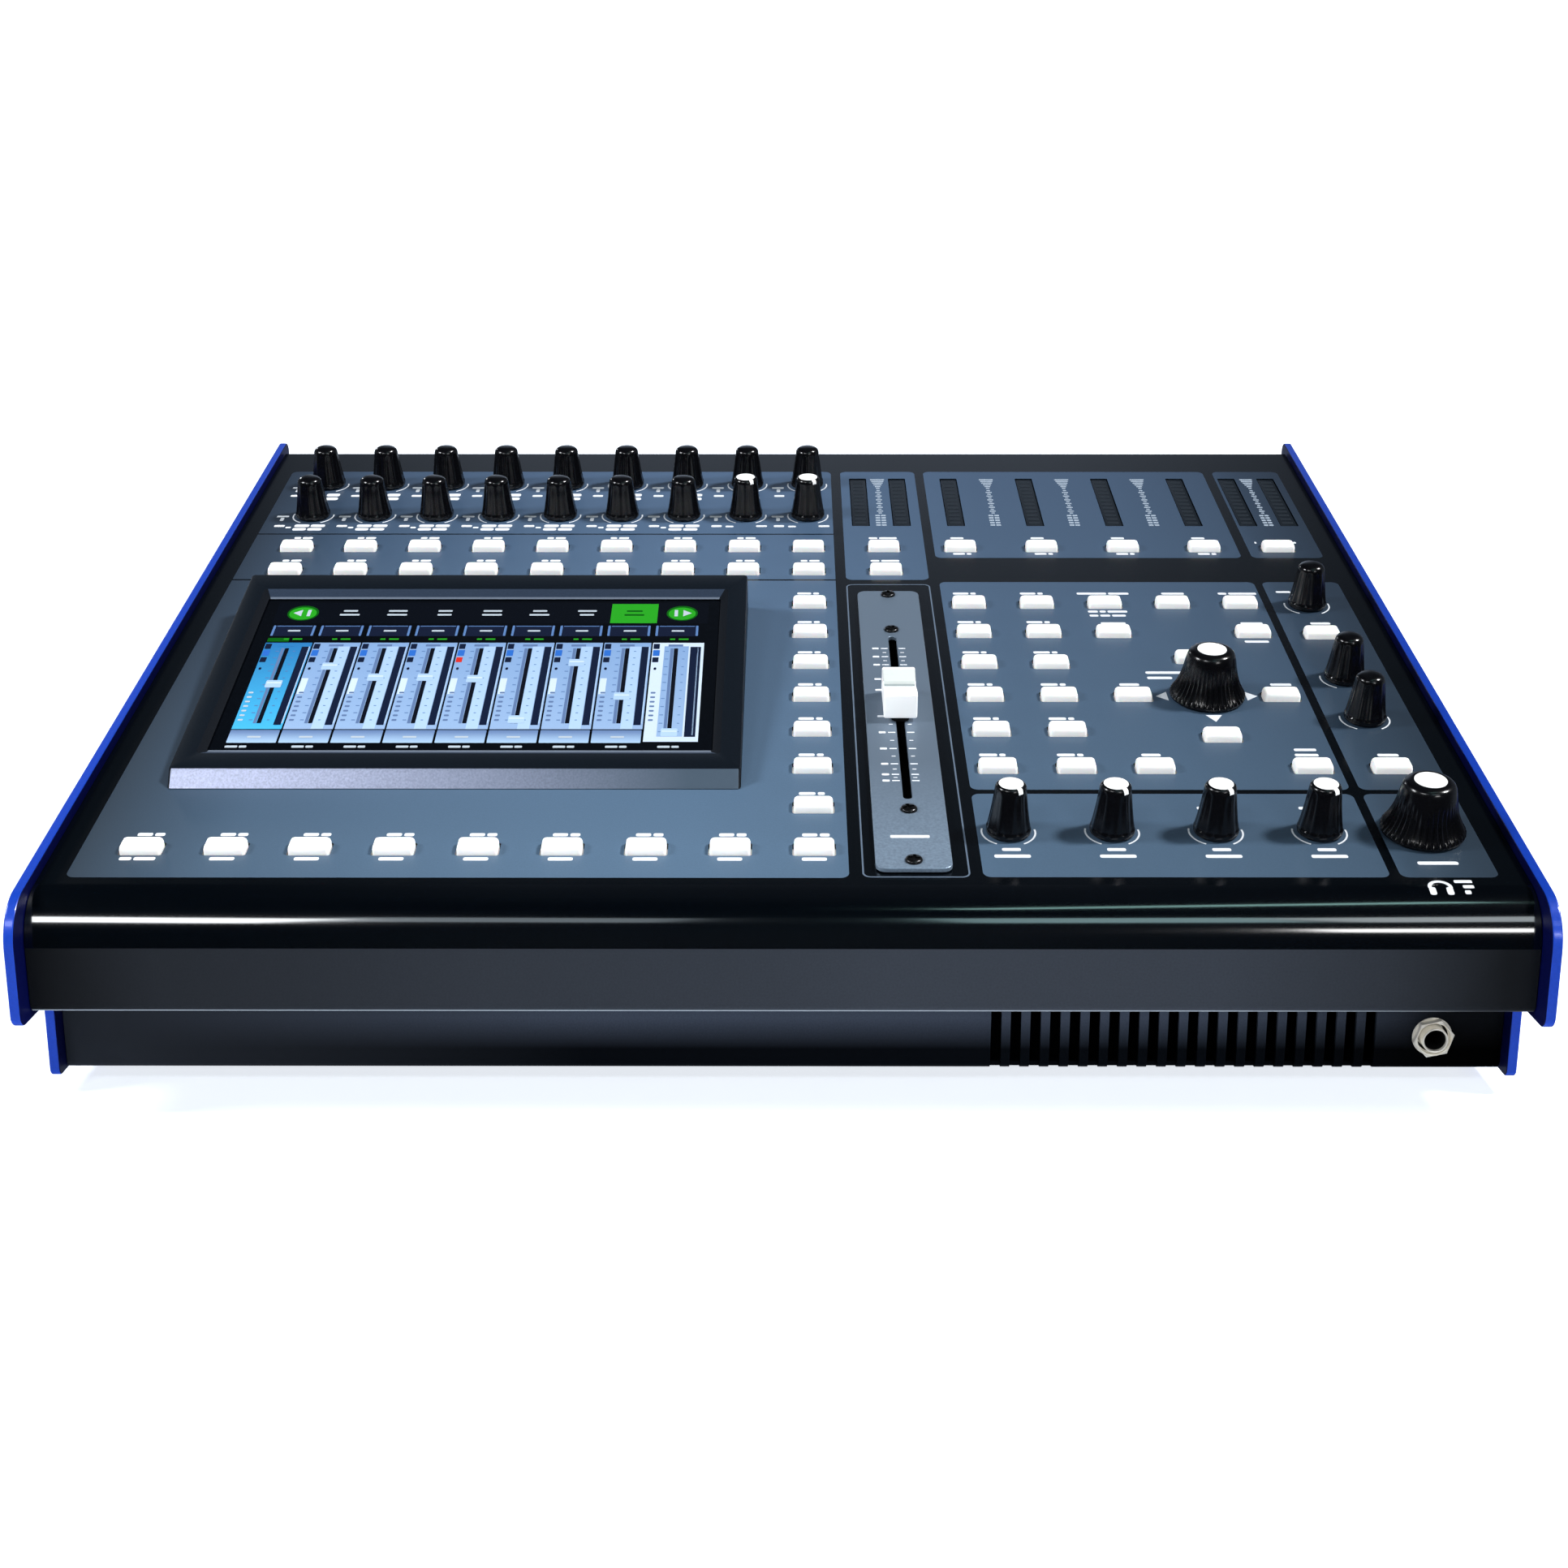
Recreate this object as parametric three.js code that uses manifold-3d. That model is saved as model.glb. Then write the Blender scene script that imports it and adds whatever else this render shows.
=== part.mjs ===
// Compact digital mixing desk: a folded steel case between two coloured side cheeks, with a
// raised touchscreen, rotary controls, rubber keys, one long fader and rear sockets.
// Units are millimetres. +X is the operator's right, -Y is the front, +Z is up.
// The origin is the middle of the footprint, at the height of the feet.
import * as THREE from "three";
import Module from "manifold-3d";

const wasm = await Module();
wasm.setup();

// ---- overall case ------------------------------------------------------------------------
const GAP = 0.3;
const DESK_WIDTH = 440;
const CHEEK_THICKNESS = 3;
const SHEET = 1.5;
const SLOPE = THREE.MathUtils.degToRad(14.4);
const FOOT_HEIGHT = 6;
const FOOT_RADIUS = 9;

// The panel frame has its origin on the front row of keys: v runs up the slope, n stands off it.
const PANEL_Y = -145.65;
const PANEL_Z = 73.5;

// Side profile, as distances from the panel frame's origin.
const CHEEK_FRONT = -38.7;
const CHEEK_BACK = 330;
const CHEEK_PROUD = 3;
const CHEEK_NOSE_RADIUS = 15.5;
const CHEEK_OVERHANG_DROP = -42.2;
const CHEEK_FOOT_FRONT = -12;
const CHEEK_BOTTOM = -67.8;
const PANEL_BACK_V = 332;
const NOSE_RADIUS = 16;
const NOSE_FRONT = -31;
const NOSE_BOTTOM = -40.2;
const BOX_FRONT = -6;
const BOX_BOTTOM = -67.5;
const BOX_FRONT_TOP = -34;
const REAR_PANEL_Y = 319.5;
const TRAY_BACK = REAR_PANEL_Y - GAP;

const INNER_HALF = DESK_WIDTH / 2 - CHEEK_THICKNESS - GAP;

// ---- controls ----------------------------------------------------------------------------
const PITCH = 25;
const FIRST_COLUMN_X = -190.65;
const LAST_COLUMN_X = FIRST_COLUMN_X + 8 * PITCH;
const GRID_X = 68.2;
const STRIP_X = 38.8;
const SIDE_COLUMN_X = 192.7;
const KNOB_ROW_BACK_V = 295;
const KNOB_ROW_FRONT_V = 261;
const SELECT_ROW_V = 227.7;
const MUTE_ROW_V = 205.4;
const METER_PITCH = 31.7;
const METER_FIRST_X = 68.7;
const CURSOR_REACH_V = 29;

const KEY_WIDTH = 12.2;
const KEY_DEPTH = 6.6;
const KEY_HEIGHT = 2.8;
const KEY_TAPER = 0.5;
const KEY_SLOT_CLEARANCE = 0.4;
const WEB_TOP = -2.9;
const WEB_THICKNESS = 1.2;
const WEB_MARGIN = 1.6;
const CURSOR_CLEARING = 15;

const SHAFT_RADIUS = 3;
const SHAFT_HOLE_RADIUS = 3.6;
const SHAFT_BOTTOM = -5.2;
const KNOB_FOOT = 0.5;
const SMALL_KNOB = {
  base: 6.9,
  top: 4.8,
  height: 17,
  skirt: 2,
  flare: [],
  lobes: 8,
  depth: 0.1,
};
const LARGE_KNOB = {
  base: 12.7,
  top: 7.6,
  height: 18.2,
  skirt: 1.6,
  flare: [[9.4, 6.5]],
  lobes: 10,
  depth: 0.04,
};
const AUX_FIRST_X = 68;
const AUX_PITCH = 31.25;
const AUX_V = 10.3;
const MONITOR_KNOB_V = [174.5, 114, 84];
const VOLUME_V = 10.4;
const ENCODER_V = 4 * PITCH;

const METER_WIDTH = 7.2;
const METER_LENGTH = 52;
const METER_V = 276.6;
const METER_PAIR_OFFSET = 8.2;
const METER_SIDE_X = 193.9;

// ---- screen ------------------------------------------------------------------------------
const SCREEN_X = -102.9;
const SCREEN_TILT = THREE.MathUtils.degToRad(5);
const BEZEL_WIDTH = 179.4;
const BEZEL_FOOT_FRONT_V = 36.2;
const BEZEL_TOP_FRONT_V = 41;
const BEZEL_TOP_FRONT_N = 5;
const BEZEL_TOP_BACK_V = 166;
const BEZEL_FOOT_BACK_V = 172.5;
const BEZEL_WALL = 2;
const WINDOW_WIDTH = 163;
const WINDOW_FRONT = 10;
const WINDOW_BACK = 113;
const GLASS_RECESS = 1.4;
const GLASS_THICKNESS = 2;
const LCD_THICKNESS = 6;
const LCD_MARGIN = 1.4;

// ---- fader -------------------------------------------------------------------------------
const FADER_X = 38.5;
const FADER_PLATE_WIDTH = 22.6;
const FADER_PLATE_FRONT_V = -13.6;
const FADER_PLATE_BACK_V = 183.3;
const FADER_PLATE_THICKNESS = 1.6;
const FADER_SLOT_WIDTH = 2.8;
const FADER_SLOT_FRONT_V = 27.4;
const FADER_SLOT_BACK_V = 143.9;
const FADER_TRACK_FRONT_V = 16;
const FADER_TRACK_BACK_V = 155;
const FADER_TRACK_WIDTH = 15;
const FADER_TRACK_DEPTH = 11;
const FADER_CAP_V = 89;
const FADER_CAP_LENGTH = 22;
const FADER_CAP_WIDTH = 11;
const FADER_CAP_HEIGHT = 9;
const FADER_CAP_LIFT = 1.2;
const FADER_TANG_BOTTOM = -8;

// ---- front box and rear ------------------------------------------------------------------
const VENT_COUNT = 20;
const VENT_FIRST_X = 64.3;
const VENT_PITCH = 5.93;
const VENT_WIDTH = 3.2;
const VENT_TOP = -46;
const VENT_UNDERCUT = 3;
const JACK_X = 195.6;
const JACK_Z = 16.8;
const JACK_BORE_RADIUS = 3.25;
const JACK_SLEEVE_RADIUS = 4.5;
const JACK_SLEEVE_REACH = 4;
const JACK_BODY = 13;
const JACK_BODY_LENGTH = 30;
const JACK_NUT_RADIUS = 6.2;
const JACK_NUT_THICKNESS = 2.4;
const SOCKET_Z = 96;
const SOCKET_PITCH = 27;
const SOCKET_COUNT = 10;
const SOCKET_FIRST_X = -196;
const SOCKET_RADIUS = 10.6;
const SOCKET_DEPTH = 16;
const LINE_SOCKET_Z = 56;
const LINE_SOCKET_COUNT = 6;
const LINE_SOCKET_RADIUS = 4;
const SOCKET_BLOCK_DEPTH = 20;
const INLET_X = 186;
const INLET_Z = 34;
const INLET_WIDTH = 27;
const INLET_HEIGHT = 20;
const INLET_DEPTH = 24;
const ROCKER_X = 150;
const ROCKER_WIDTH = 13;
const ROCKER_HEIGHT = 19;
const ROCKER_TILT = THREE.MathUtils.degToRad(8);

// ---- geometry helpers --------------------------------------------------------------------
const panelFrame = new THREE.Matrix4()
  .makeTranslation(0, PANEL_Y, PANEL_Z)
  .multiply(new THREE.Matrix4().makeRotationX(SLOPE));

const screenFrame = panelFrame
  .clone()
  .multiply(new THREE.Matrix4().makeTranslation(SCREEN_X, BEZEL_TOP_FRONT_V, BEZEL_TOP_FRONT_N))
  .multiply(new THREE.Matrix4().makeRotationX(SCREEN_TILT));

// Turns a profile drawn in (Y, Z) so that its extrusion runs along +X.
const profileToX = new THREE.Matrix4().makeBasis(
  new THREE.Vector3(0, 1, 0),
  new THREE.Vector3(0, 0, 1),
  new THREE.Vector3(1, 0, 0),
);

// Lays a lathe's +Y axis along +Z, or along -Y for parts that face the front.
const latheToZ = new THREE.Matrix4().makeRotationX(Math.PI / 2);

function toManifold(geometry) {
  const source = geometry.index ? geometry.toNonIndexed() : geometry;
  const positions = source.getAttribute("position");
  const seen = new Map();
  const vertices = [];
  const triangles = [];
  for (let i = 0; i < positions.count; i += 1) {
    const point = [positions.getX(i), positions.getY(i), positions.getZ(i)];
    const key = point.map((value) => Math.round(value * 1e4)).join(",");
    if (!seen.has(key)) {
      seen.set(key, seen.size);
      vertices.push(...point);
    }
    triangles.push(seen.get(key));
  }
  const kept = [];
  for (let i = 0; i < triangles.length; i += 3) {
    const [a, b, c] = triangles.slice(i, i + 3);
    if (a !== b && b !== c && a !== c) {
      kept.push(a, b, c);
    }
  }
  return new wasm.Manifold(
    new wasm.Mesh({
      numProp: 3,
      vertProperties: new Float32Array(vertices),
      triVerts: new Uint32Array(kept),
    }),
  );
}

function toGeometry(solid) {
  const mesh = solid.getMesh();
  const geometry = new THREE.BufferGeometry();
  geometry.setAttribute("position", new THREE.BufferAttribute(mesh.vertProperties, 3));
  geometry.setIndex(new THREE.BufferAttribute(mesh.triVerts, 1));
  return geometry;
}

function joined(geometries) {
  return geometries.map(toManifold).reduce((sum, solid) => sum.add(solid));
}

function cut(geometry, cutters) {
  return toGeometry(toManifold(geometry).subtract(joined(cutters)));
}

function join(geometries) {
  return toGeometry(joined(geometries));
}

function box(x, y, z) {
  const [x0, x1] = x;
  const [y0, y1] = y;
  const [z0, z1] = z;
  const geometry = new THREE.BoxGeometry(x1 - x0, y1 - y0, z1 - z0);
  return geometry.translate((x0 + x1) / 2, (y0 + y1) / 2, (z0 + z1) / 2);
}

function around(middle, size) {
  return [middle - size / 2, middle + size / 2];
}

// Replaces each corner [a, b, radius] of a closed outline with a sampled fillet.
function roundedOutline(corners, steps) {
  const points = [];
  corners.forEach(([a, b, radius], i) => {
    const here = new THREE.Vector2(a, b);
    if (!radius) {
      points.push(here);
      return;
    }
    const before = corners[(i + corners.length - 1) % corners.length];
    const after = corners[(i + 1) % corners.length];
    const toBefore = new THREE.Vector2(before[0], before[1]).sub(here).normalize();
    const toAfter = new THREE.Vector2(after[0], after[1]).sub(here).normalize();
    const halfAngle = Math.acos(THREE.MathUtils.clamp(toBefore.dot(toAfter), -1, 1)) / 2;
    const bisector = toBefore.clone().add(toAfter).normalize();
    const centre = here.clone().addScaledVector(bisector, radius / Math.sin(halfAngle));
    const reach = radius / Math.tan(halfAngle);
    const start = here.clone().addScaledVector(toBefore, reach).sub(centre).angle();
    const end = here.clone().addScaledVector(toAfter, reach).sub(centre).angle();
    let sweep = end - start;
    if (sweep > Math.PI) {
      sweep -= 2 * Math.PI;
    }
    if (sweep < -Math.PI) {
      sweep += 2 * Math.PI;
    }
    for (let k = 0; k <= steps; k += 1) {
      const angle = start + (sweep * k) / steps;
      points.push(
        new THREE.Vector2(
          centre.x + radius * Math.cos(angle),
          centre.y + radius * Math.sin(angle),
        ),
      );
    }
  });
  return points;
}

function extrudeAlongX(points, x0, x1) {
  const geometry = new THREE.ExtrudeGeometry(new THREE.Shape(points), {
    depth: x1 - x0,
    bevelEnabled: false,
  });
  return geometry.translate(0, 0, x0).applyMatrix4(profileToX);
}

function extrudeUp(points, z0, z1) {
  const geometry = new THREE.ExtrudeGeometry(new THREE.Shape(points), {
    depth: z1 - z0,
    bevelEnabled: false,
  });
  return geometry.translate(0, 0, z0);
}

function roundedPlate(x, y, radius, z0, z1, steps) {
  const corners = [
    [x[0], y[0], radius],
    [x[1], y[0], radius],
    [x[1], y[1], radius],
    [x[0], y[1], radius],
  ];
  return extrudeUp(roundedOutline(corners, steps), z0, z1);
}

function cylinderUp(x, y, z0, z1, radius, segments) {
  const geometry = new THREE.CylinderGeometry(radius, radius, z1 - z0, segments);
  return geometry.applyMatrix4(latheToZ).translate(x, y, (z0 + z1) / 2);
}

function cylinderAlongY(x, y0, y1, z, radius, segments) {
  const geometry = new THREE.CylinderGeometry(radius, radius, y1 - y0, segments);
  return geometry.translate(x, (y0 + y1) / 2, z);
}

// Point of the case's side view, given along and off the panel, as (Y, Z) from its origin.
function slopePoint(v, n) {
  return [
    v * Math.cos(SLOPE) - n * Math.sin(SLOPE),
    v * Math.sin(SLOPE) + n * Math.cos(SLOPE),
  ];
}

// Height of the line that runs parallel to the panel at the offset n, where Y is given.
function slopeHeight(y, n) {
  return y * Math.tan(SLOPE) + n / Math.cos(SLOPE);
}

function placeProfile(geometry) {
  return geometry.translate(0, PANEL_Y, PANEL_Z);
}

// ---- materials and the assembly ----------------------------------------------------------
const desk = new THREE.Group();
desk.name = "mixing_desk";

const finishes = {
  cheekBlue: { color: 0x1535c8, roughness: 0.35, metalness: 0.2 },
  caseBlack: { color: 0x14171c, roughness: 0.35, metalness: 0.3 },
  trayBlack: { color: 0x1b1e22, roughness: 0.6, metalness: 0.2 },
  plasticBlack: { color: 0x101216, roughness: 0.4, metalness: 0 },
  screenGlass: { color: 0x0a0f18, roughness: 0.08, metalness: 0 },
  lcdMetal: { color: 0x9a9da0, roughness: 0.5, metalness: 0.8 },
  keyWhite: { color: 0xf1efe8, roughness: 0.5, metalness: 0 },
  faderGrey: { color: 0x75808c, roughness: 0.45, metalness: 0.6 },
  capWhite: { color: 0xf4f4f2, roughness: 0.4, metalness: 0 },
  lensDark: { color: 0x20242a, roughness: 0.2, metalness: 0 },
  boardGreen: { color: 0x1d5a38, roughness: 0.6, metalness: 0 },
  nickel: { color: 0xc9c8c2, roughness: 0.25, metalness: 1 },
  zinc: { color: 0xa9adb0, roughness: 0.5, metalness: 0.9 },
  rubber: { color: 0x17181a, roughness: 0.9, metalness: 0 },
};

function add(name, geometry, finish) {
  const mesh = new THREE.Mesh(geometry, new THREE.MeshStandardMaterial(finishes[finish]));
  mesh.name = name;
  desk.add(mesh);
}

function onPanel(geometry) {
  return geometry.applyMatrix4(panelFrame);
}

// ---- cheeks ------------------------------------------------------------------------------
const cheekOutline = roundedOutline(
  [
    [CHEEK_FRONT, slopeHeight(CHEEK_FRONT, CHEEK_PROUD), CHEEK_NOSE_RADIUS],
    [CHEEK_FRONT, CHEEK_OVERHANG_DROP, 4],
    [CHEEK_FOOT_FRONT, CHEEK_OVERHANG_DROP, 3],
    [CHEEK_FOOT_FRONT, CHEEK_BOTTOM, 2.5],
    [CHEEK_BACK, CHEEK_BOTTOM, 4],
    [CHEEK_BACK, slopeHeight(CHEEK_BACK, CHEEK_PROUD), 4],
  ],
  8,
);
const cheekOuter = DESK_WIDTH / 2;
const cheekInner = cheekOuter - CHEEK_THICKNESS;
add("left_cheek", placeProfile(extrudeAlongX(cheekOutline, -cheekOuter, -cheekInner)), "cheekBlue");
add("right_cheek", placeProfile(extrudeAlongX(cheekOutline, cheekInner, cheekOuter)), "cheekBlue");

// ---- where each control sits, as (x, v) on the panel -------------------------------------
const columns = [...Array(9).keys()].map((i) => FIRST_COLUMN_X + i * PITCH);
const gridColumns = [...Array(6).keys()].map((i) => GRID_X + i * PITCH);
const cursorX = gridColumns[3];
const meterColumns = [...Array(4).keys()].map((i) => METER_FIRST_X + i * METER_PITCH);
const auxColumns = [...Array(4).keys()].map((i) => AUX_FIRST_X + i * AUX_PITCH);

const keyBanks = {
  keys_channel_select: columns.map((x) => [x, SELECT_ROW_V]),
  keys_channel_on: columns.map((x) => [x, MUTE_ROW_V]),
  keys_bank_column: [7, 6, 5, 4, 3, 2, 1].map((row) => [LAST_COLUMN_X, row * PITCH]),
  keys_page_row: columns.map((x) => [x, 0]),
  keys_strip_pair: [
    [STRIP_X, SELECT_ROW_V],
    [STRIP_X, MUTE_ROW_V],
  ],
  keys_meter_row: [...meterColumns, SIDE_COLUMN_X].map((x) => [x, SELECT_ROW_V]),
  keys_group_grid: [7, 6, 5, 4, 3, 2].flatMap((row) => [
    [gridColumns[0], row * PITCH],
    [gridColumns[1], row * PITCH],
  ]),
  keys_cursor_field: [
    [gridColumns[2], 7 * PITCH],
    [gridColumns[3], 7 * PITCH],
    [gridColumns[4], 7 * PITCH],
    [gridColumns[2], 6 * PITCH],
    [gridColumns[4], 6 * PITCH],
    [gridColumns[5] - 0.6, 6 * PITCH - 1],
    [cursorX, ENCODER_V + CURSOR_REACH_V],
    [gridColumns[2], ENCODER_V],
    [gridColumns[4], ENCODER_V],
    [cursorX, ENCODER_V - CURSOR_REACH_V],
    [gridColumns[2], 2 * PITCH],
    [gridColumns[4], 2 * PITCH],
    [gridColumns[5], 2 * PITCH],
  ],
};

const knobs = {};
columns.forEach((x, i) => {
  knobs[`knob_gain_${i + 1}`] = { x, v: KNOB_ROW_BACK_V, shape: SMALL_KNOB };
});
columns.forEach((x, i) => {
  knobs[`knob_send_${i + 1}`] = { x, v: KNOB_ROW_FRONT_V, shape: SMALL_KNOB };
});
auxColumns.forEach((x, i) => {
  knobs[`knob_aux_${i + 1}`] = { x, v: AUX_V, shape: SMALL_KNOB };
});
MONITOR_KNOB_V.forEach((v, i) => {
  knobs[`knob_monitor_${i + 1}`] = { x: SIDE_COLUMN_X, v, shape: SMALL_KNOB };
});
knobs.knob_parameter = { x: cursorX, v: ENCODER_V, shape: LARGE_KNOB };
knobs.knob_volume = { x: SIDE_COLUMN_X, v: VOLUME_V, shape: LARGE_KNOB };

const meterPositions = [
  STRIP_X - METER_PAIR_OFFSET,
  STRIP_X + METER_PAIR_OFFSET,
  ...meterColumns,
  METER_SIDE_X - METER_PAIR_OFFSET,
  METER_SIDE_X + METER_PAIR_OFFSET,
];

// ---- top panel ---------------------------------------------------------------------------
// One folded sheet: the sloped deck, the rounded nose, the front face and a short return.
function deckOutline() {
  const bend = 1.5 + SHEET;
  const outer = [
    slopePoint(PANEL_BACK_V, 0),
    [NOSE_FRONT, slopeHeight(NOSE_FRONT, 0), NOSE_RADIUS],
    [NOSE_FRONT, NOSE_BOTTOM, bend],
    [BOX_FRONT - GAP, NOSE_BOTTOM],
  ];
  const inner = [
    [BOX_FRONT - GAP, NOSE_BOTTOM + SHEET],
    [NOSE_FRONT + SHEET, NOSE_BOTTOM + SHEET, bend - SHEET],
    [NOSE_FRONT + SHEET, slopeHeight(NOSE_FRONT + SHEET, -SHEET), NOSE_RADIUS - SHEET],
    slopePoint(PANEL_BACK_V, -SHEET),
  ];
  return roundedOutline([...outer, ...inner], 7);
}

const through = [-6, 2];
const keySlots = Object.values(keyBanks)
  .flat()
  .map(([x, v]) =>
    box(
      around(x, KEY_WIDTH + 2 * KEY_SLOT_CLEARANCE),
      around(v, KEY_DEPTH + 2 * KEY_SLOT_CLEARANCE),
      through,
    ),
  );
const shaftHoles = Object.values(knobs).map(({ x, v }) =>
  cylinderUp(x, v, ...through, SHAFT_HOLE_RADIUS, 8),
);
const meterWindows = meterPositions.map((x) =>
  box(around(x, METER_WIDTH), around(METER_V, METER_LENGTH), through),
);
const screenOpening = box(
  around(SCREEN_X, WINDOW_WIDTH + 4),
  [BEZEL_TOP_FRONT_V + 5, BEZEL_TOP_BACK_V - 3],
  through,
);
const faderOpening = box(
  around(FADER_X, FADER_SLOT_WIDTH + 4),
  [FADER_SLOT_FRONT_V - 2, FADER_SLOT_BACK_V + 2],
  through,
);
const deckCutters = [...keySlots, ...shaftHoles, ...meterWindows, screenOpening, faderOpening];
add(
  "top_panel",
  cut(
    placeProfile(extrudeAlongX(deckOutline(), -INNER_HALF, INNER_HALF)),
    deckCutters.map(onPanel),
  ),
  "caseBlack",
);

// ---- bottom tray with the front grille ---------------------------------------------------
const trayOutline = roundedOutline(
  [
    [BOX_FRONT, BOX_FRONT_TOP],
    [BOX_FRONT, BOX_BOTTOM, 2.5],
    [TRAY_BACK, BOX_BOTTOM],
    [TRAY_BACK, BOX_BOTTOM + SHEET],
    [BOX_FRONT + SHEET, BOX_BOTTOM + SHEET, 1],
    [BOX_FRONT + SHEET, BOX_FRONT_TOP],
  ],
  1,
);
const vents = [...Array(VENT_COUNT).keys()].map((i) =>
  placeProfile(
    box(
      around(VENT_FIRST_X + i * VENT_PITCH, VENT_WIDTH),
      [BOX_FRONT - 2, BOX_FRONT + VENT_UNDERCUT],
      [BOX_BOTTOM - 2, VENT_TOP],
    ),
  ),
);
const boxFrontY = PANEL_Y + BOX_FRONT;
const jackHole = cylinderAlongY(
  JACK_X,
  boxFrontY - 2,
  boxFrontY + SHEET + 2,
  JACK_Z,
  JACK_SLEEVE_RADIUS + GAP,
  16,
);
add(
  "bottom_tray",
  cut(placeProfile(extrudeAlongX(trayOutline, -INNER_HALF, INNER_HALF)), [...vents, jackHole]),
  "trayBlack",
);

// ---- rear panel and its sockets ----------------------------------------------------------
const rearY = PANEL_Y + REAR_PANEL_Y;
const rearInner = rearY;
const rearOuter = rearY + SHEET;
const rearTop = PANEL_Z + slopeHeight(REAR_PANEL_Y, -SHEET) - GAP;
const rearBottom = PANEL_Z + BOX_BOTTOM;
const socketColumns = [...Array(SOCKET_COUNT).keys()].map(
  (i) => SOCKET_FIRST_X + i * SOCKET_PITCH,
);
const lineColumns = socketColumns.slice(0, LINE_SOCKET_COUNT);
const socketPlaces = [
  ...socketColumns.map((x) => ({ x, z: SOCKET_Z, radius: SOCKET_RADIUS, sides: 10 })),
  ...lineColumns.map((x) => ({ x, z: LINE_SOCKET_Z, radius: LINE_SOCKET_RADIUS, sides: 8 })),
];
const rearHoles = socketPlaces.map(({ x, z, radius, sides }) =>
  cylinderAlongY(x, rearInner - 2, rearOuter + 2, z, radius + 0.6, sides),
);
const inletHole = box(
  around(INLET_X, INLET_WIDTH + 2 * GAP),
  [rearInner - 2, rearOuter + 2],
  around(INLET_Z, INLET_HEIGHT + 2 * GAP),
);
const rockerHole = box(
  around(ROCKER_X, ROCKER_WIDTH + 3),
  [rearInner - 2, rearOuter + 2],
  around(INLET_Z, ROCKER_HEIGHT + 3),
);
add(
  "rear_panel",
  cut(
    box([-INNER_HALF, INNER_HALF], [rearInner, rearOuter], [rearBottom, rearTop]),
    [...rearHoles, inletHole, rockerHole],
  ),
  "caseBlack",
);

// A moulded block behind the rear panel holds the microphone sockets over the line sockets.
const blockBack = rearInner - GAP;
const blockRight = socketColumns[SOCKET_COUNT - 1] + SOCKET_PITCH / 2;
const lineRight = lineColumns[LINE_SOCKET_COUNT - 1] + SOCKET_PITCH / 2;
const blockLeft = SOCKET_FIRST_X - SOCKET_PITCH / 2;
const blockSteps = [
  [blockLeft, LINE_SOCKET_Z - 10],
  [lineRight, LINE_SOCKET_Z - 10],
  [lineRight, SOCKET_Z - 14],
  [blockRight, SOCKET_Z - 14],
  [blockRight, SOCKET_Z + 14],
  [blockLeft, SOCKET_Z + 14],
].map(([x, z]) => new THREE.Vector2(x, -z));
const socketBlock = extrudeUp(blockSteps.reverse(), 0, SOCKET_BLOCK_DEPTH)
  .applyMatrix4(new THREE.Matrix4().makeRotationX(-Math.PI / 2))
  .applyMatrix4(new THREE.Matrix4().makeTranslation(0, blockBack - SOCKET_BLOCK_DEPTH, 0));
add(
  "socket_block",
  cut(
    socketBlock,
    socketPlaces.map(({ x, z, radius, sides }) =>
      cylinderAlongY(x, blockBack - SOCKET_DEPTH, blockBack + 2, z, radius, sides),
    ),
  ),
  "plasticBlack",
);

// The mains inlet is a shell round the cavity that takes the plug.
const inletWall = 1.6;
add(
  "power_inlet",
  cut(
    box(
      around(INLET_X, INLET_WIDTH),
      [rearOuter + 1 - INLET_DEPTH, rearOuter + 1],
      around(INLET_Z, INLET_HEIGHT),
    ),
    [
      box(
        around(INLET_X, INLET_WIDTH - 2 * inletWall),
        [rearOuter + 1 - INLET_DEPTH + 3, rearOuter + 3],
        around(INLET_Z, INLET_HEIGHT - 2 * inletWall),
      ),
    ],
  ),
  "plasticBlack",
);

// The rocker is a shallow vee that tips about a pin across its middle.
const rockerDepth = 9;
const rockerFace = 2.2;
const rockerOutline = [
  [-rockerDepth / 2, -ROCKER_HEIGHT / 2 + 3],
  [rockerFace, -ROCKER_HEIGHT / 2],
  [rockerFace - 1.2, 0],
  [rockerFace, ROCKER_HEIGHT / 2],
  [-rockerDepth / 2, ROCKER_HEIGHT / 2 - 3],
].map(([y, z]) => new THREE.Vector2(y, z));
add(
  "power_rocker",
  extrudeAlongX(rockerOutline, ...around(0, ROCKER_WIDTH))
    .applyMatrix4(new THREE.Matrix4().makeRotationX(ROCKER_TILT))
    .translate(ROCKER_X, rearOuter, INLET_Z),
  "plasticBlack",
);

// ---- feet --------------------------------------------------------------------------------
const footProfile = [
  [0, 0],
  [FOOT_RADIUS - 1, 0],
  [FOOT_RADIUS, 1],
  [FOOT_RADIUS, FOOT_HEIGHT - GAP],
  [0, FOOT_HEIGHT - GAP],
].map(([r, h]) => new THREE.Vector2(r, h));
const footPlaces = {
  foot_front_left: [-175, -115],
  foot_front_right: [175, -115],
  foot_rear_left: [-175, 145],
  foot_rear_right: [175, 145],
};
Object.entries(footPlaces).forEach(([name, [x, y]]) => {
  add(
    name,
    new THREE.LatheGeometry(footProfile, 16).applyMatrix4(latheToZ).translate(x, y, 0),
    "rubber",
  );
});

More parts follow.
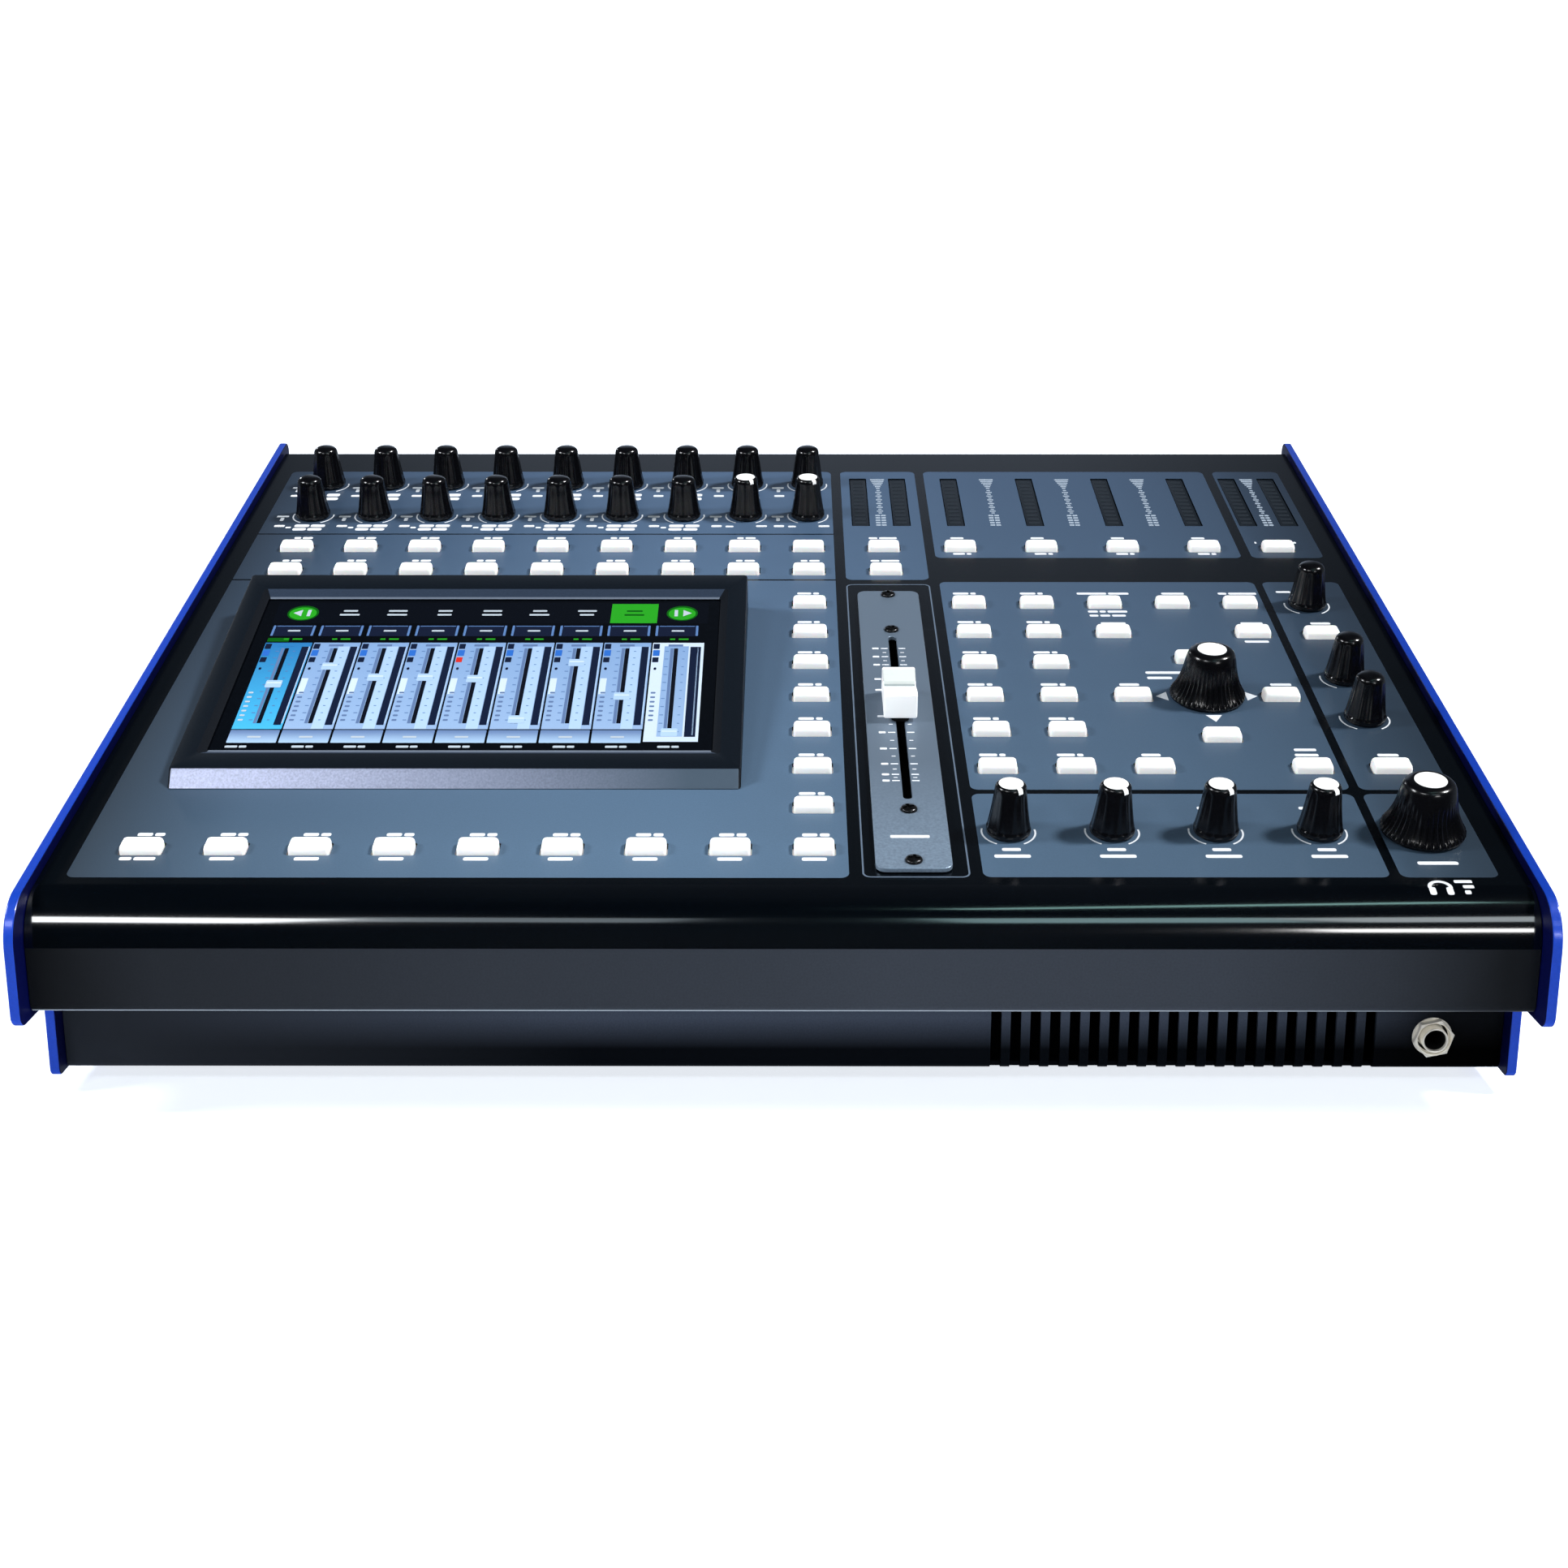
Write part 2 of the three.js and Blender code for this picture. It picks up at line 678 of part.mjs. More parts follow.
// ---- screen ------------------------------------------------------------------------------
const bezelX = around(SCREEN_X, BEZEL_WIDTH);
const bezelTopBackN =
  BEZEL_TOP_FRONT_N + (BEZEL_TOP_BACK_V - BEZEL_TOP_FRONT_V) * Math.tan(SCREEN_TILT);
const bezelOutline = [
  [BEZEL_FOOT_FRONT_V, GAP],
  [BEZEL_FOOT_BACK_V, GAP],
  [BEZEL_TOP_BACK_V, bezelTopBackN],
  [BEZEL_TOP_FRONT_V, BEZEL_TOP_FRONT_N],
].map(([v, n]) => new THREE.Vector2(v, n));
const bezelHollow = [
  [BEZEL_FOOT_FRONT_V + 5, -1],
  [BEZEL_FOOT_BACK_V - 3, -1],
  [BEZEL_TOP_BACK_V - 2, bezelTopBackN - BEZEL_WALL],
  [BEZEL_TOP_FRONT_V + 3, BEZEL_TOP_FRONT_N - BEZEL_WALL],
].map(([v, n]) => new THREE.Vector2(v, n));
const bezelWindow = box(
  around(0, WINDOW_WIDTH),
  [WINDOW_FRONT, WINDOW_BACK],
  [-8, 3],
).applyMatrix4(screenFrame);
add(
  "screen_bezel",
  cut(onPanel(extrudeAlongX(bezelOutline, ...bezelX)), [
    onPanel(extrudeAlongX(bezelHollow, bezelX[0] + BEZEL_WALL, bezelX[1] - BEZEL_WALL)),
    bezelWindow,
  ]),
  "plasticBlack",
);
const glassBottom = -GLASS_RECESS - GLASS_THICKNESS;
add(
  "touch_glass",
  box(
    around(0, WINDOW_WIDTH - 2 * GAP),
    [WINDOW_FRONT + GAP, WINDOW_BACK - GAP],
    [glassBottom, -GLASS_RECESS],
  ).applyMatrix4(screenFrame),
  "screenGlass",
);
add(
  "lcd_module",
  box(
    around(0, WINDOW_WIDTH - 2 * LCD_MARGIN),
    [WINDOW_FRONT + LCD_MARGIN, WINDOW_BACK - LCD_MARGIN],
    [glassBottom - GAP - LCD_THICKNESS, glassBottom - GAP],
  ).applyMatrix4(screenFrame),
  "lcdMetal",
);

// ---- keys --------------------------------------------------------------------------------
// Each bank is one silicone mat: separate key caps on a web that hides under the panel.
function keyCap([x, v]) {
  const cap = new THREE.BoxGeometry(KEY_WIDTH, KEY_DEPTH, KEY_HEIGHT - WEB_TOP + 0.2);
  const positions = cap.getAttribute("position");
  for (let i = 0; i < positions.count; i += 1) {
    if (positions.getZ(i) > 0) {
      positions.setX(i, positions.getX(i) - Math.sign(positions.getX(i)) * KEY_TAPER);
      positions.setY(i, positions.getY(i) - Math.sign(positions.getY(i)) * KEY_TAPER);
    }
  }
  return cap.translate(x, v, (KEY_HEIGHT + WEB_TOP - 0.2) / 2);
}

// The plain mats are one rectangle round their keys; the field round the encoder is a frame.
function plainWeb(places) {
  const reachX = KEY_WIDTH / 2 + WEB_MARGIN;
  const reachV = KEY_DEPTH / 2 + WEB_MARGIN;
  const xs = places.map(([x]) => x);
  const vs = places.map(([, v]) => v);
  return box(
    [Math.min(...xs) - reachX, Math.max(...xs) + reachX],
    [Math.min(...vs) - reachV, Math.max(...vs) + reachV],
    [WEB_TOP - WEB_THICKNESS, WEB_TOP],
  );
}

function cursorWeb() {
  const half = KEY_DEPTH / 2 + WEB_MARGIN;
  const left = gridColumns[2] - KEY_WIDTH / 2 - WEB_MARGIN;
  const right = gridColumns[4] + KEY_WIDTH / 2 + WEB_MARGIN;
  const farRight = gridColumns[5] + KEY_WIDTH / 2 + WEB_MARGIN;
  const outline = [
    [left, 2 * PITCH - half],
    [farRight, 2 * PITCH - half],
    [farRight, 2 * PITCH + half],
    [right, 2 * PITCH + half],
    [right, 6 * PITCH - 1 - half],
    [farRight, 6 * PITCH - 1 - half],
    [farRight, 6 * PITCH + half],
    [right, 6 * PITCH + half],
    [right, 7 * PITCH + half],
    [left, 7 * PITCH + half],
  ].map(([x, v]) => new THREE.Vector2(x, v));
  const web = extrudeUp(outline, WEB_TOP - WEB_THICKNESS, WEB_TOP);
  const clearing = cylinderUp(cursorX, ENCODER_V, WEB_TOP - 3, WEB_TOP + 1, CURSOR_CLEARING, 8);
  return cut(web, [clearing]);
}

Object.entries(keyBanks).forEach(([name, places]) => {
  const web = name === "keys_cursor_field" ? cursorWeb() : plainWeb(places);
  add(name, onPanel(join([web, ...places.map(keyCap)])), "keyWhite");
});

// ---- knobs -------------------------------------------------------------------------------
// A fluted cap that flares to its skirt, turned on a round shaft.
function knobGeometry({ base, top, height, skirt, flare, lobes, depth }) {
  const collar = height - 1.4;
  const profile = [
    [0, KNOB_FOOT],
    [base, KNOB_FOOT],
    [base, KNOB_FOOT + skirt],
    ...flare.map(([r, h]) => [r, KNOB_FOOT + h]),
    [top, collar],
    [top - 1, height],
    [0, height],
  ].map(([r, h]) => new THREE.Vector2(r, h));
  const geometry = new THREE.LatheGeometry(profile, 2 * lobes);
  const positions = geometry.getAttribute("position");
  for (let i = 0; i < positions.count; i += 1) {
    const column = Math.floor(i / profile.length);
    const ring = i % profile.length;
    if (column % 2 === 1 && ring >= 2 && ring <= profile.length - 3) {
      positions.setX(i, positions.getX(i) * (1 - depth));
      positions.setZ(i, positions.getZ(i) * (1 - depth));
    }
  }
  const shaft = cylinderUp(0, 0, SHAFT_BOTTOM, KNOB_FOOT + 1, SHAFT_RADIUS, 8);
  return join([geometry.applyMatrix4(latheToZ), shaft]);
}

Object.entries(knobs).forEach(([name, { x, v, shape }]) => {
  add(name, onPanel(knobGeometry(shape).translate(x, v, 0)), "plasticBlack");
});

// ---- meters ------------------------------------------------------------------------------
// One tinted moulding with a raised bar for each window.
const lensTop = -0.25;
const carrierTop = -SHEET - GAP;
const carrier = box(
  [meterPositions[0] - METER_WIDTH, METER_SIDE_X + METER_PAIR_OFFSET + METER_WIDTH],
  around(METER_V, METER_LENGTH + 6),
  [carrierTop - 1.5, carrierTop],
);
const bars = meterPositions.map((x) =>
  box(
    around(x, METER_WIDTH - 2 * GAP),
    around(METER_V, METER_LENGTH - 2 * GAP),
    [carrierTop - 0.5, lensTop],
  ),
);
add("meter_lens_bank", onPanel(join([carrier, ...bars])), "lensDark");

// ---- fader -------------------------------------------------------------------------------
const faderPlateTop = GAP + FADER_PLATE_THICKNESS;
const faderSlot = roundedPlate(
  around(FADER_X, FADER_SLOT_WIDTH),
  [FADER_SLOT_FRONT_V, FADER_SLOT_BACK_V],
  FADER_SLOT_WIDTH / 2 - 0.05,
  -1,
  faderPlateTop + 1,
  4,
);
add(
  "fader_plate",
  onPanel(
    cut(
      roundedPlate(
        around(FADER_X, FADER_PLATE_WIDTH),
        [FADER_PLATE_FRONT_V, FADER_PLATE_BACK_V],
        3,
        GAP,
        faderPlateTop,
        5,
      ),
      [faderSlot],
    ),
  ),
  "faderGrey",
);

const trackTop = -SHEET - GAP;
const trackBottom = trackTop - FADER_TRACK_DEPTH;
add(
  "fader_track",
  onPanel(
    cut(
      box(
        around(FADER_X, FADER_TRACK_WIDTH),
        [FADER_TRACK_FRONT_V, FADER_TRACK_BACK_V],
        [trackBottom, trackTop],
      ),
      [
        box(
          around(FADER_X, FADER_SLOT_WIDTH + 2),
          [FADER_SLOT_FRONT_V - 1, FADER_SLOT_BACK_V + 1],
          [FADER_TANG_BOTTOM - 1, trackTop + 1],
        ),
      ],
    ),
  ),
  "zinc",
);

// The cap is saddle shaped along the slope and rides on a flat tang through the slot.
const capBottom = faderPlateTop + FADER_CAP_LIFT;
const capTop = capBottom + FADER_CAP_HEIGHT;
const capOutline = [
  [-FADER_CAP_LENGTH / 2, capBottom],
  [FADER_CAP_LENGTH / 2, capBottom],
  [FADER_CAP_LENGTH / 2 - 1.5, capTop],
  [FADER_CAP_LENGTH / 2 - 4, capTop],
  [1.2, capTop - 1.8],
  [0, capTop - 2.6],
  [-1.2, capTop - 1.8],
  [-FADER_CAP_LENGTH / 2 + 4, capTop],
  [-FADER_CAP_LENGTH / 2 + 1.5, capTop],
].map(([v, n]) => new THREE.Vector2(v, n));
const tang = box(around(0, 1.6), around(0, 5), [FADER_TANG_BOTTOM, capBottom + 1]);
add(
  "fader_cap",
  onPanel(
    join([extrudeAlongX(capOutline, ...around(0, FADER_CAP_WIDTH)), tang]).translate(
      FADER_X,
      FADER_CAP_V,
      0,
    ),
  ),
  "capWhite",
);

// ---- headphone socket --------------------------------------------------------------------
const sleeveFront = boxFrontY - JACK_SLEEVE_REACH;
const jackShoulder = boxFrontY + SHEET + GAP;
add(
  "headphone_jack",
  cut(
    join([
      cylinderAlongY(JACK_X, sleeveFront, jackShoulder + 1, JACK_Z, JACK_SLEEVE_RADIUS, 16),
      box(
        around(JACK_X, JACK_BODY),
        [jackShoulder, jackShoulder + JACK_BODY_LENGTH],
        around(JACK_Z, JACK_BODY),
      ),
    ]),
    [
      cylinderAlongY(
        JACK_X,
        sleeveFront - 1,
        jackShoulder + JACK_BODY_LENGTH - 3,
        JACK_Z,
        JACK_BORE_RADIUS,
        16,
      ),
    ],
  ),
  "nickel",
);
const nutFront = boxFrontY - GAP - JACK_NUT_THICKNESS;
add(
  "headphone_nut",
  cut(cylinderAlongY(JACK_X, nutFront, boxFrontY - GAP, JACK_Z, JACK_NUT_RADIUS, 6), [
    cylinderAlongY(JACK_X, nutFront - 1, boxFrontY, JACK_Z, JACK_SLEEVE_RADIUS + GAP, 16),
  ]),
  "nickel",
);

// ---- electronics inside ------------------------------------------------------------------
const boardThickness = 1.6;
const potBodyTop = SHAFT_BOTTOM - GAP;
const potBodyHeight = 6;
const surfaceBoardTop = potBodyTop - potBodyHeight;

function surfaceBoard(names, x, v) {
  const pots = names.map((name) =>
    box(
      around(knobs[name].x, 10),
      around(knobs[name].v, 12),
      [surfaceBoardTop - 0.5, potBodyTop],
    ),
  );
  const board = box(x, v, [surfaceBoardTop - boardThickness, surfaceBoardTop]);
  return onPanel(join([board, ...pots]));
}

const names = Object.keys(knobs);
const leftPots = names.filter((name) => /gain|send/.test(name));
const rightPots = names.filter((name) => !leftPots.includes(name));
add("surface_board_left", surfaceBoard(leftPots, [-206, 18], [196, 306]), "boardGreen");
add("surface_board_right", surfaceBoard(rightPots, [58, 207], [-2, 240]), "boardGreen");

const trayTop = PANEL_Z + BOX_BOTTOM + SHEET;
const mainBoard = { x: [-190, 60], y: [-90, 110], z: 18 };
const posts = [mainBoard.x[0] + 8, mainBoard.x[1] - 8].flatMap((x) =>
  [mainBoard.y[0] + 8, mainBoard.y[1] - 8].map((y) =>
    cylinderUp(x, y, trayTop + GAP, mainBoard.z + 0.5, 3, 6),
  ),
);
const chips = [
  [-120, 0],
  [-60, 30],
  [0, -20],
].map(([x, y]) => box(around(x, 24), around(y, 24), [mainBoard.z + 1, mainBoard.z + 4]));
add(
  "main_board",
  join([
    box(mainBoard.x, mainBoard.y, [mainBoard.z, mainBoard.z + boardThickness]),
    ...posts,
    ...chips,
  ]),
  "boardGreen",
);
add(
  "power_supply",
  box([85, 195], [20, 105], [trayTop + GAP, trayTop + GAP + 34]),
  "zinc",
);

export default desk;
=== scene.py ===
import math

import bmesh
import bpy
from mathutils import Matrix, Vector


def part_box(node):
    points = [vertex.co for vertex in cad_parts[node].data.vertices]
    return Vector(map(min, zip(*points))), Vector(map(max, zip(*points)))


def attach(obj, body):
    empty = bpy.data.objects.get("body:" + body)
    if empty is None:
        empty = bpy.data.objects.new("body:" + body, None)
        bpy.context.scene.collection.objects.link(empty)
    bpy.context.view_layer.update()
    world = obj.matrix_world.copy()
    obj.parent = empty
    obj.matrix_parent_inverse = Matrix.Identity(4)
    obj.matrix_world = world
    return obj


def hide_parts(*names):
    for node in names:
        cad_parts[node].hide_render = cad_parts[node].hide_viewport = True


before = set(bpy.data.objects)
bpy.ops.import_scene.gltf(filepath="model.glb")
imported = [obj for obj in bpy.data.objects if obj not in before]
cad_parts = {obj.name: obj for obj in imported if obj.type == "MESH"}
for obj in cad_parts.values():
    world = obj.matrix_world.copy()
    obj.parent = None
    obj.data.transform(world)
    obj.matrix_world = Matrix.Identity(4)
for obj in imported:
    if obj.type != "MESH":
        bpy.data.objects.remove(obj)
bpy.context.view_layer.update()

# ---- frames: every shape is drawn in millimetres, in one of these -----------------------
MM = 0.001
SLOPE = math.radians(14.4)
PANEL_Y = -145.65
PANEL_Z = 73.5
SCREEN_TILT = math.radians(5)
PANEL = Matrix.Translation((0, PANEL_Y, PANEL_Z)) @ Matrix.Rotation(SLOPE, 4, "X")
SCREEN_X, SCREEN_V, SCREEN_LIFT = -102.9, 41, 5
SCREEN = (PANEL @ Matrix.Translation((SCREEN_X, SCREEN_V, SCREEN_LIFT))
          @ Matrix.Rotation(SCREEN_TILT, 4, "X"))
# Drawing axes (a, b, c) for side profiles: a runs back, b up and c to the right.
SIDE_AXES = Matrix(((0, 0, 1, 0), (1, 0, 0, 0), (0, 1, 0, 0), (0, 0, 0, 1)))
SIDE = Matrix.Translation((0, PANEL_Y, PANEL_Z)) @ SIDE_AXES
# Drawing axes for the back: a runs left, b up and c out of the back.
BACK_Y = 175.35
BACK = Matrix.Translation((0, BACK_Y, 0)) @ Matrix(
    ((-1, 0, 0, 0), (0, 0, 1, 0), (0, 1, 0, 0), (0, 0, 0, 1))
)
# Drawing axes for the lower front: a runs right, b up and c out of the front.
FRONT_Y = PANEL_Y - 6
FRONT = Matrix.Translation((0, FRONT_Y, 0)) @ Matrix(
    ((1, 0, 0, 0), (0, 0, -1, 0), (0, 1, 0, 0), (0, 0, 0, 1))
)

# ---- where the controls sit, as (x, v) on the panel --------------------------------------
PITCH = 25
COLUMNS = [-190.65 + i * PITCH for i in range(9)]
GRID = [68.2 + i * PITCH for i in range(6)]
METERS = [68.7 + i * 31.7 for i in range(4)]
METER_WINDOWS = [30.6, 47.0, *METERS, 185.7, 202.1]
STRIP_X = 38.8
SIDE_X = 192.7
FADER_X = 38.5
INNER_HALF = 216.7
KEY_BANKS = {
    "keys_channel_select": [(x, 227.7) for x in COLUMNS],
    "keys_channel_on": [(x, 205.4) for x in COLUMNS],
    "keys_bank_column": [(COLUMNS[8], v * PITCH) for v in range(7, 0, -1)],
    "keys_page_row": [(x, 0) for x in COLUMNS],
    "keys_strip_pair": [(STRIP_X, 227.7), (STRIP_X, 205.4)],
    "keys_meter_row": [(x, 227.7) for x in [*METERS, SIDE_X]],
    "keys_group_grid": [(x, v * PITCH) for v in range(7, 1, -1) for x in GRID[:2]],
    "keys_cursor_field": [
        (GRID[2], 175), (GRID[3], 175), (GRID[4], 175),
        (GRID[2], 150), (GRID[4], 150), (GRID[5] - 0.6, 149),
        (GRID[3], 129), (GRID[2], 100), (GRID[4], 100), (GRID[3], 71),
        (GRID[2], 50), (GRID[4], 50), (GRID[5], 50),
    ],
}
KEYS = [place for bank in KEY_BANKS.values() for place in bank]
SMALL_KNOBS = {f"knob_gain_{i + 1}": (x, 295) for i, x in enumerate(COLUMNS)}
SMALL_KNOBS.update({f"knob_send_{i + 1}": (x, 261) for i, x in enumerate(COLUMNS)})
SMALL_KNOBS.update({f"knob_aux_{i + 1}": (68 + i * 31.25, 10.3) for i in range(4)})
SMALL_KNOBS.update({f"knob_monitor_{i + 1}": (SIDE_X, v) for i, v in enumerate((174.5, 114, 84))})
LARGE_KNOBS = {"knob_parameter": (GRID[3], 100), "knob_volume": (SIDE_X, 10.4)}


# ---- materials ---------------------------------------------------------------------------
def shade(colour, factor):
    return tuple(min(1.0, c * factor) for c in colour)


def noise(nodes, links, where, scale, detail):
    made = nodes.new("ShaderNodeTexNoise")
    made.inputs["Scale"].default_value = scale
    made.inputs["Detail"].default_value = detail
    links.new(where.outputs["Object"], made.inputs["Vector"])
    return made.outputs["Fac"]


def colour_mix(nodes, blend="MIX"):
    made = nodes.new("ShaderNodeMix")
    made.data_type = "RGBA"
    made.blend_type = blend
    return made


def map_range(nodes, start, end, low=0.0, high=1.0):
    """Maps start..end to low..high and holds the value past both ends."""
    made = nodes.new("ShaderNodeMapRange")
    for key, value in (("From Min", start), ("From Max", end), ("To Min", low), ("To Max", high)):
        made.inputs[key].default_value = value
    return made


def colour_ramp(nodes, stops):
    """A ramp through (position, colour) stops."""
    made = nodes.new("ShaderNodeValToRGB")
    for _ in stops[2:]:
        made.color_ramp.elements.new(0.5)
    for element, (position, colour) in zip(made.color_ramp.elements, stops):
        element.position = position
        element.color = (*colour, 1)
    return made


MIN_ROUGHNESS = 0.02
# In metres, as the shader takes them.
BUMP_DEPTH = 0.0002
SUBSURFACE_DEPTH = 0.002


def material(name, colour, roughness, metallic=0.0, specular=0.5, variation=0.12,
             grain=900.0, bump=0.05, spread=0.06, patches=14.0,
             coat=0.0, coat_roughness=0.08, glow=0.0, subsurface=0.0, ramps=(), side_shade=()):
    """Principled surface: fine grain drives colour and bump, broad patches drive the gloss.

    ramps fade the colour slowly over the piece, and the side shade list darkens it across the
    width: see the two functions below.
    On the deck print, front face, fold, lower case, fader plate and bezel lip these are painted
    shade; on the screen the ramps are part of the picture.
    """
    made = bpy.data.materials.new(name)
    made.use_nodes = True
    nodes, links = made.node_tree.nodes, made.node_tree.links
    shader = nodes["Principled BSDF"]
    shader.inputs["Metallic"].default_value = metallic
    shader.inputs["Specular IOR Level"].default_value = specular
    shader.inputs["Coat Weight"].default_value = coat
    shader.inputs["Coat Roughness"].default_value = coat_roughness
    shader.inputs["Subsurface Weight"].default_value = subsurface
    shader.inputs["Subsurface Scale"].default_value = SUBSURFACE_DEPTH
    where = nodes.new("ShaderNodeTexCoord")
    fine = noise(nodes, links, where, grain, 4.0)
    broad = noise(nodes, links, where, patches, 3.0)
    tint = colour_mix(nodes)
    tint.inputs["A"].default_value = (*shade(colour, 1 - variation), 1)
    tint.inputs["B"].default_value = (*shade(colour, 1 + variation), 1)
    links.new(fine, tint.inputs["Factor"])
    result = tint.outputs["Result"]
    for ramp in ramps:
        result = gradient(nodes, links, where, result, ramp)
    if side_shade:
        result = painted_side_shade(nodes, links, where, result, side_shade)
    links.new(result, shader.inputs["Base Color"])
    if glow:
        links.new(result, shader.inputs["Emission Color"])
        shader.inputs["Emission Strength"].default_value = glow
    gloss = map_range(nodes, 0, 1, max(MIN_ROUGHNESS, roughness - spread), roughness + spread)
    links.new(broad, gloss.inputs["Value"])
    links.new(gloss.outputs["Result"], shader.inputs["Roughness"])
    if bump:
        relief = nodes.new("ShaderNodeBump")
        relief.inputs["Strength"].default_value = bump
        relief.inputs["Distance"].default_value = BUMP_DEPTH
        links.new(fine, relief.inputs["Height"])
        links.new(relief.outputs["Normal"], shader.inputs["Normal"])
    return made


def gradient(nodes, links, where, base, ramp):
    """Fades the colour to another; ramp is (direction, start, end, other colour), in metres."""
    direction, start, end, other = ramp
    along = nodes.new("ShaderNodeVectorMath")
    along.operation = "DOT_PRODUCT"
    along.inputs[1].default_value = direction
    links.new(where.outputs["Object"], along.inputs[0])
    share = map_range(nodes, start, end)
    links.new(along.outputs["Value"], share.inputs["Value"])
    fade = colour_mix(nodes)
    links.new(share.outputs["Result"], fade.inputs["Factor"])
    links.new(base, fade.inputs["A"])
    fade.inputs["B"].default_value = (*other, 1)
    return fade.outputs["Result"]


# Half the width over which the painted side shade runs, in metres.
SIDE_SHADE_HALF = 0.22


def painted_side_shade(nodes, links, where, base, side_shade):
    """Paints shade across the width by darkening the colour; the list gives (x in metres, share of
    the colour that is kept).
    """
    split = nodes.new("ShaderNodeSeparateXYZ")
    links.new(where.outputs["Object"], split.inputs["Vector"])
    place = map_range(nodes, -SIDE_SHADE_HALF, SIDE_SHADE_HALF)
    links.new(split.outputs["X"], place.inputs["Value"])
    shares = colour_ramp(nodes, [((x + SIDE_SHADE_HALF) / (2 * SIDE_SHADE_HALF), (share,) * 3)
                                 for x, share in side_shade])
    links.new(place.outputs["Result"], shares.inputs["Fac"])
    product = colour_mix(nodes, "MULTIPLY")
    product.inputs["Factor"].default_value = 1.0
    links.new(base, product.inputs["A"])
    links.new(shares.outputs["Color"], product.inputs["B"])
    return product.outputs["Result"]


UP_SLOPE = (0.0, math.cos(SLOPE), math.sin(SLOPE))


def slope_at(v):
    """What a point v millimetres up the panel measures along UP_SLOPE, in metres."""
    return (v + PANEL_Y * UP_SLOPE[1] + PANEL_Z * UP_SLOPE[2]) * MM
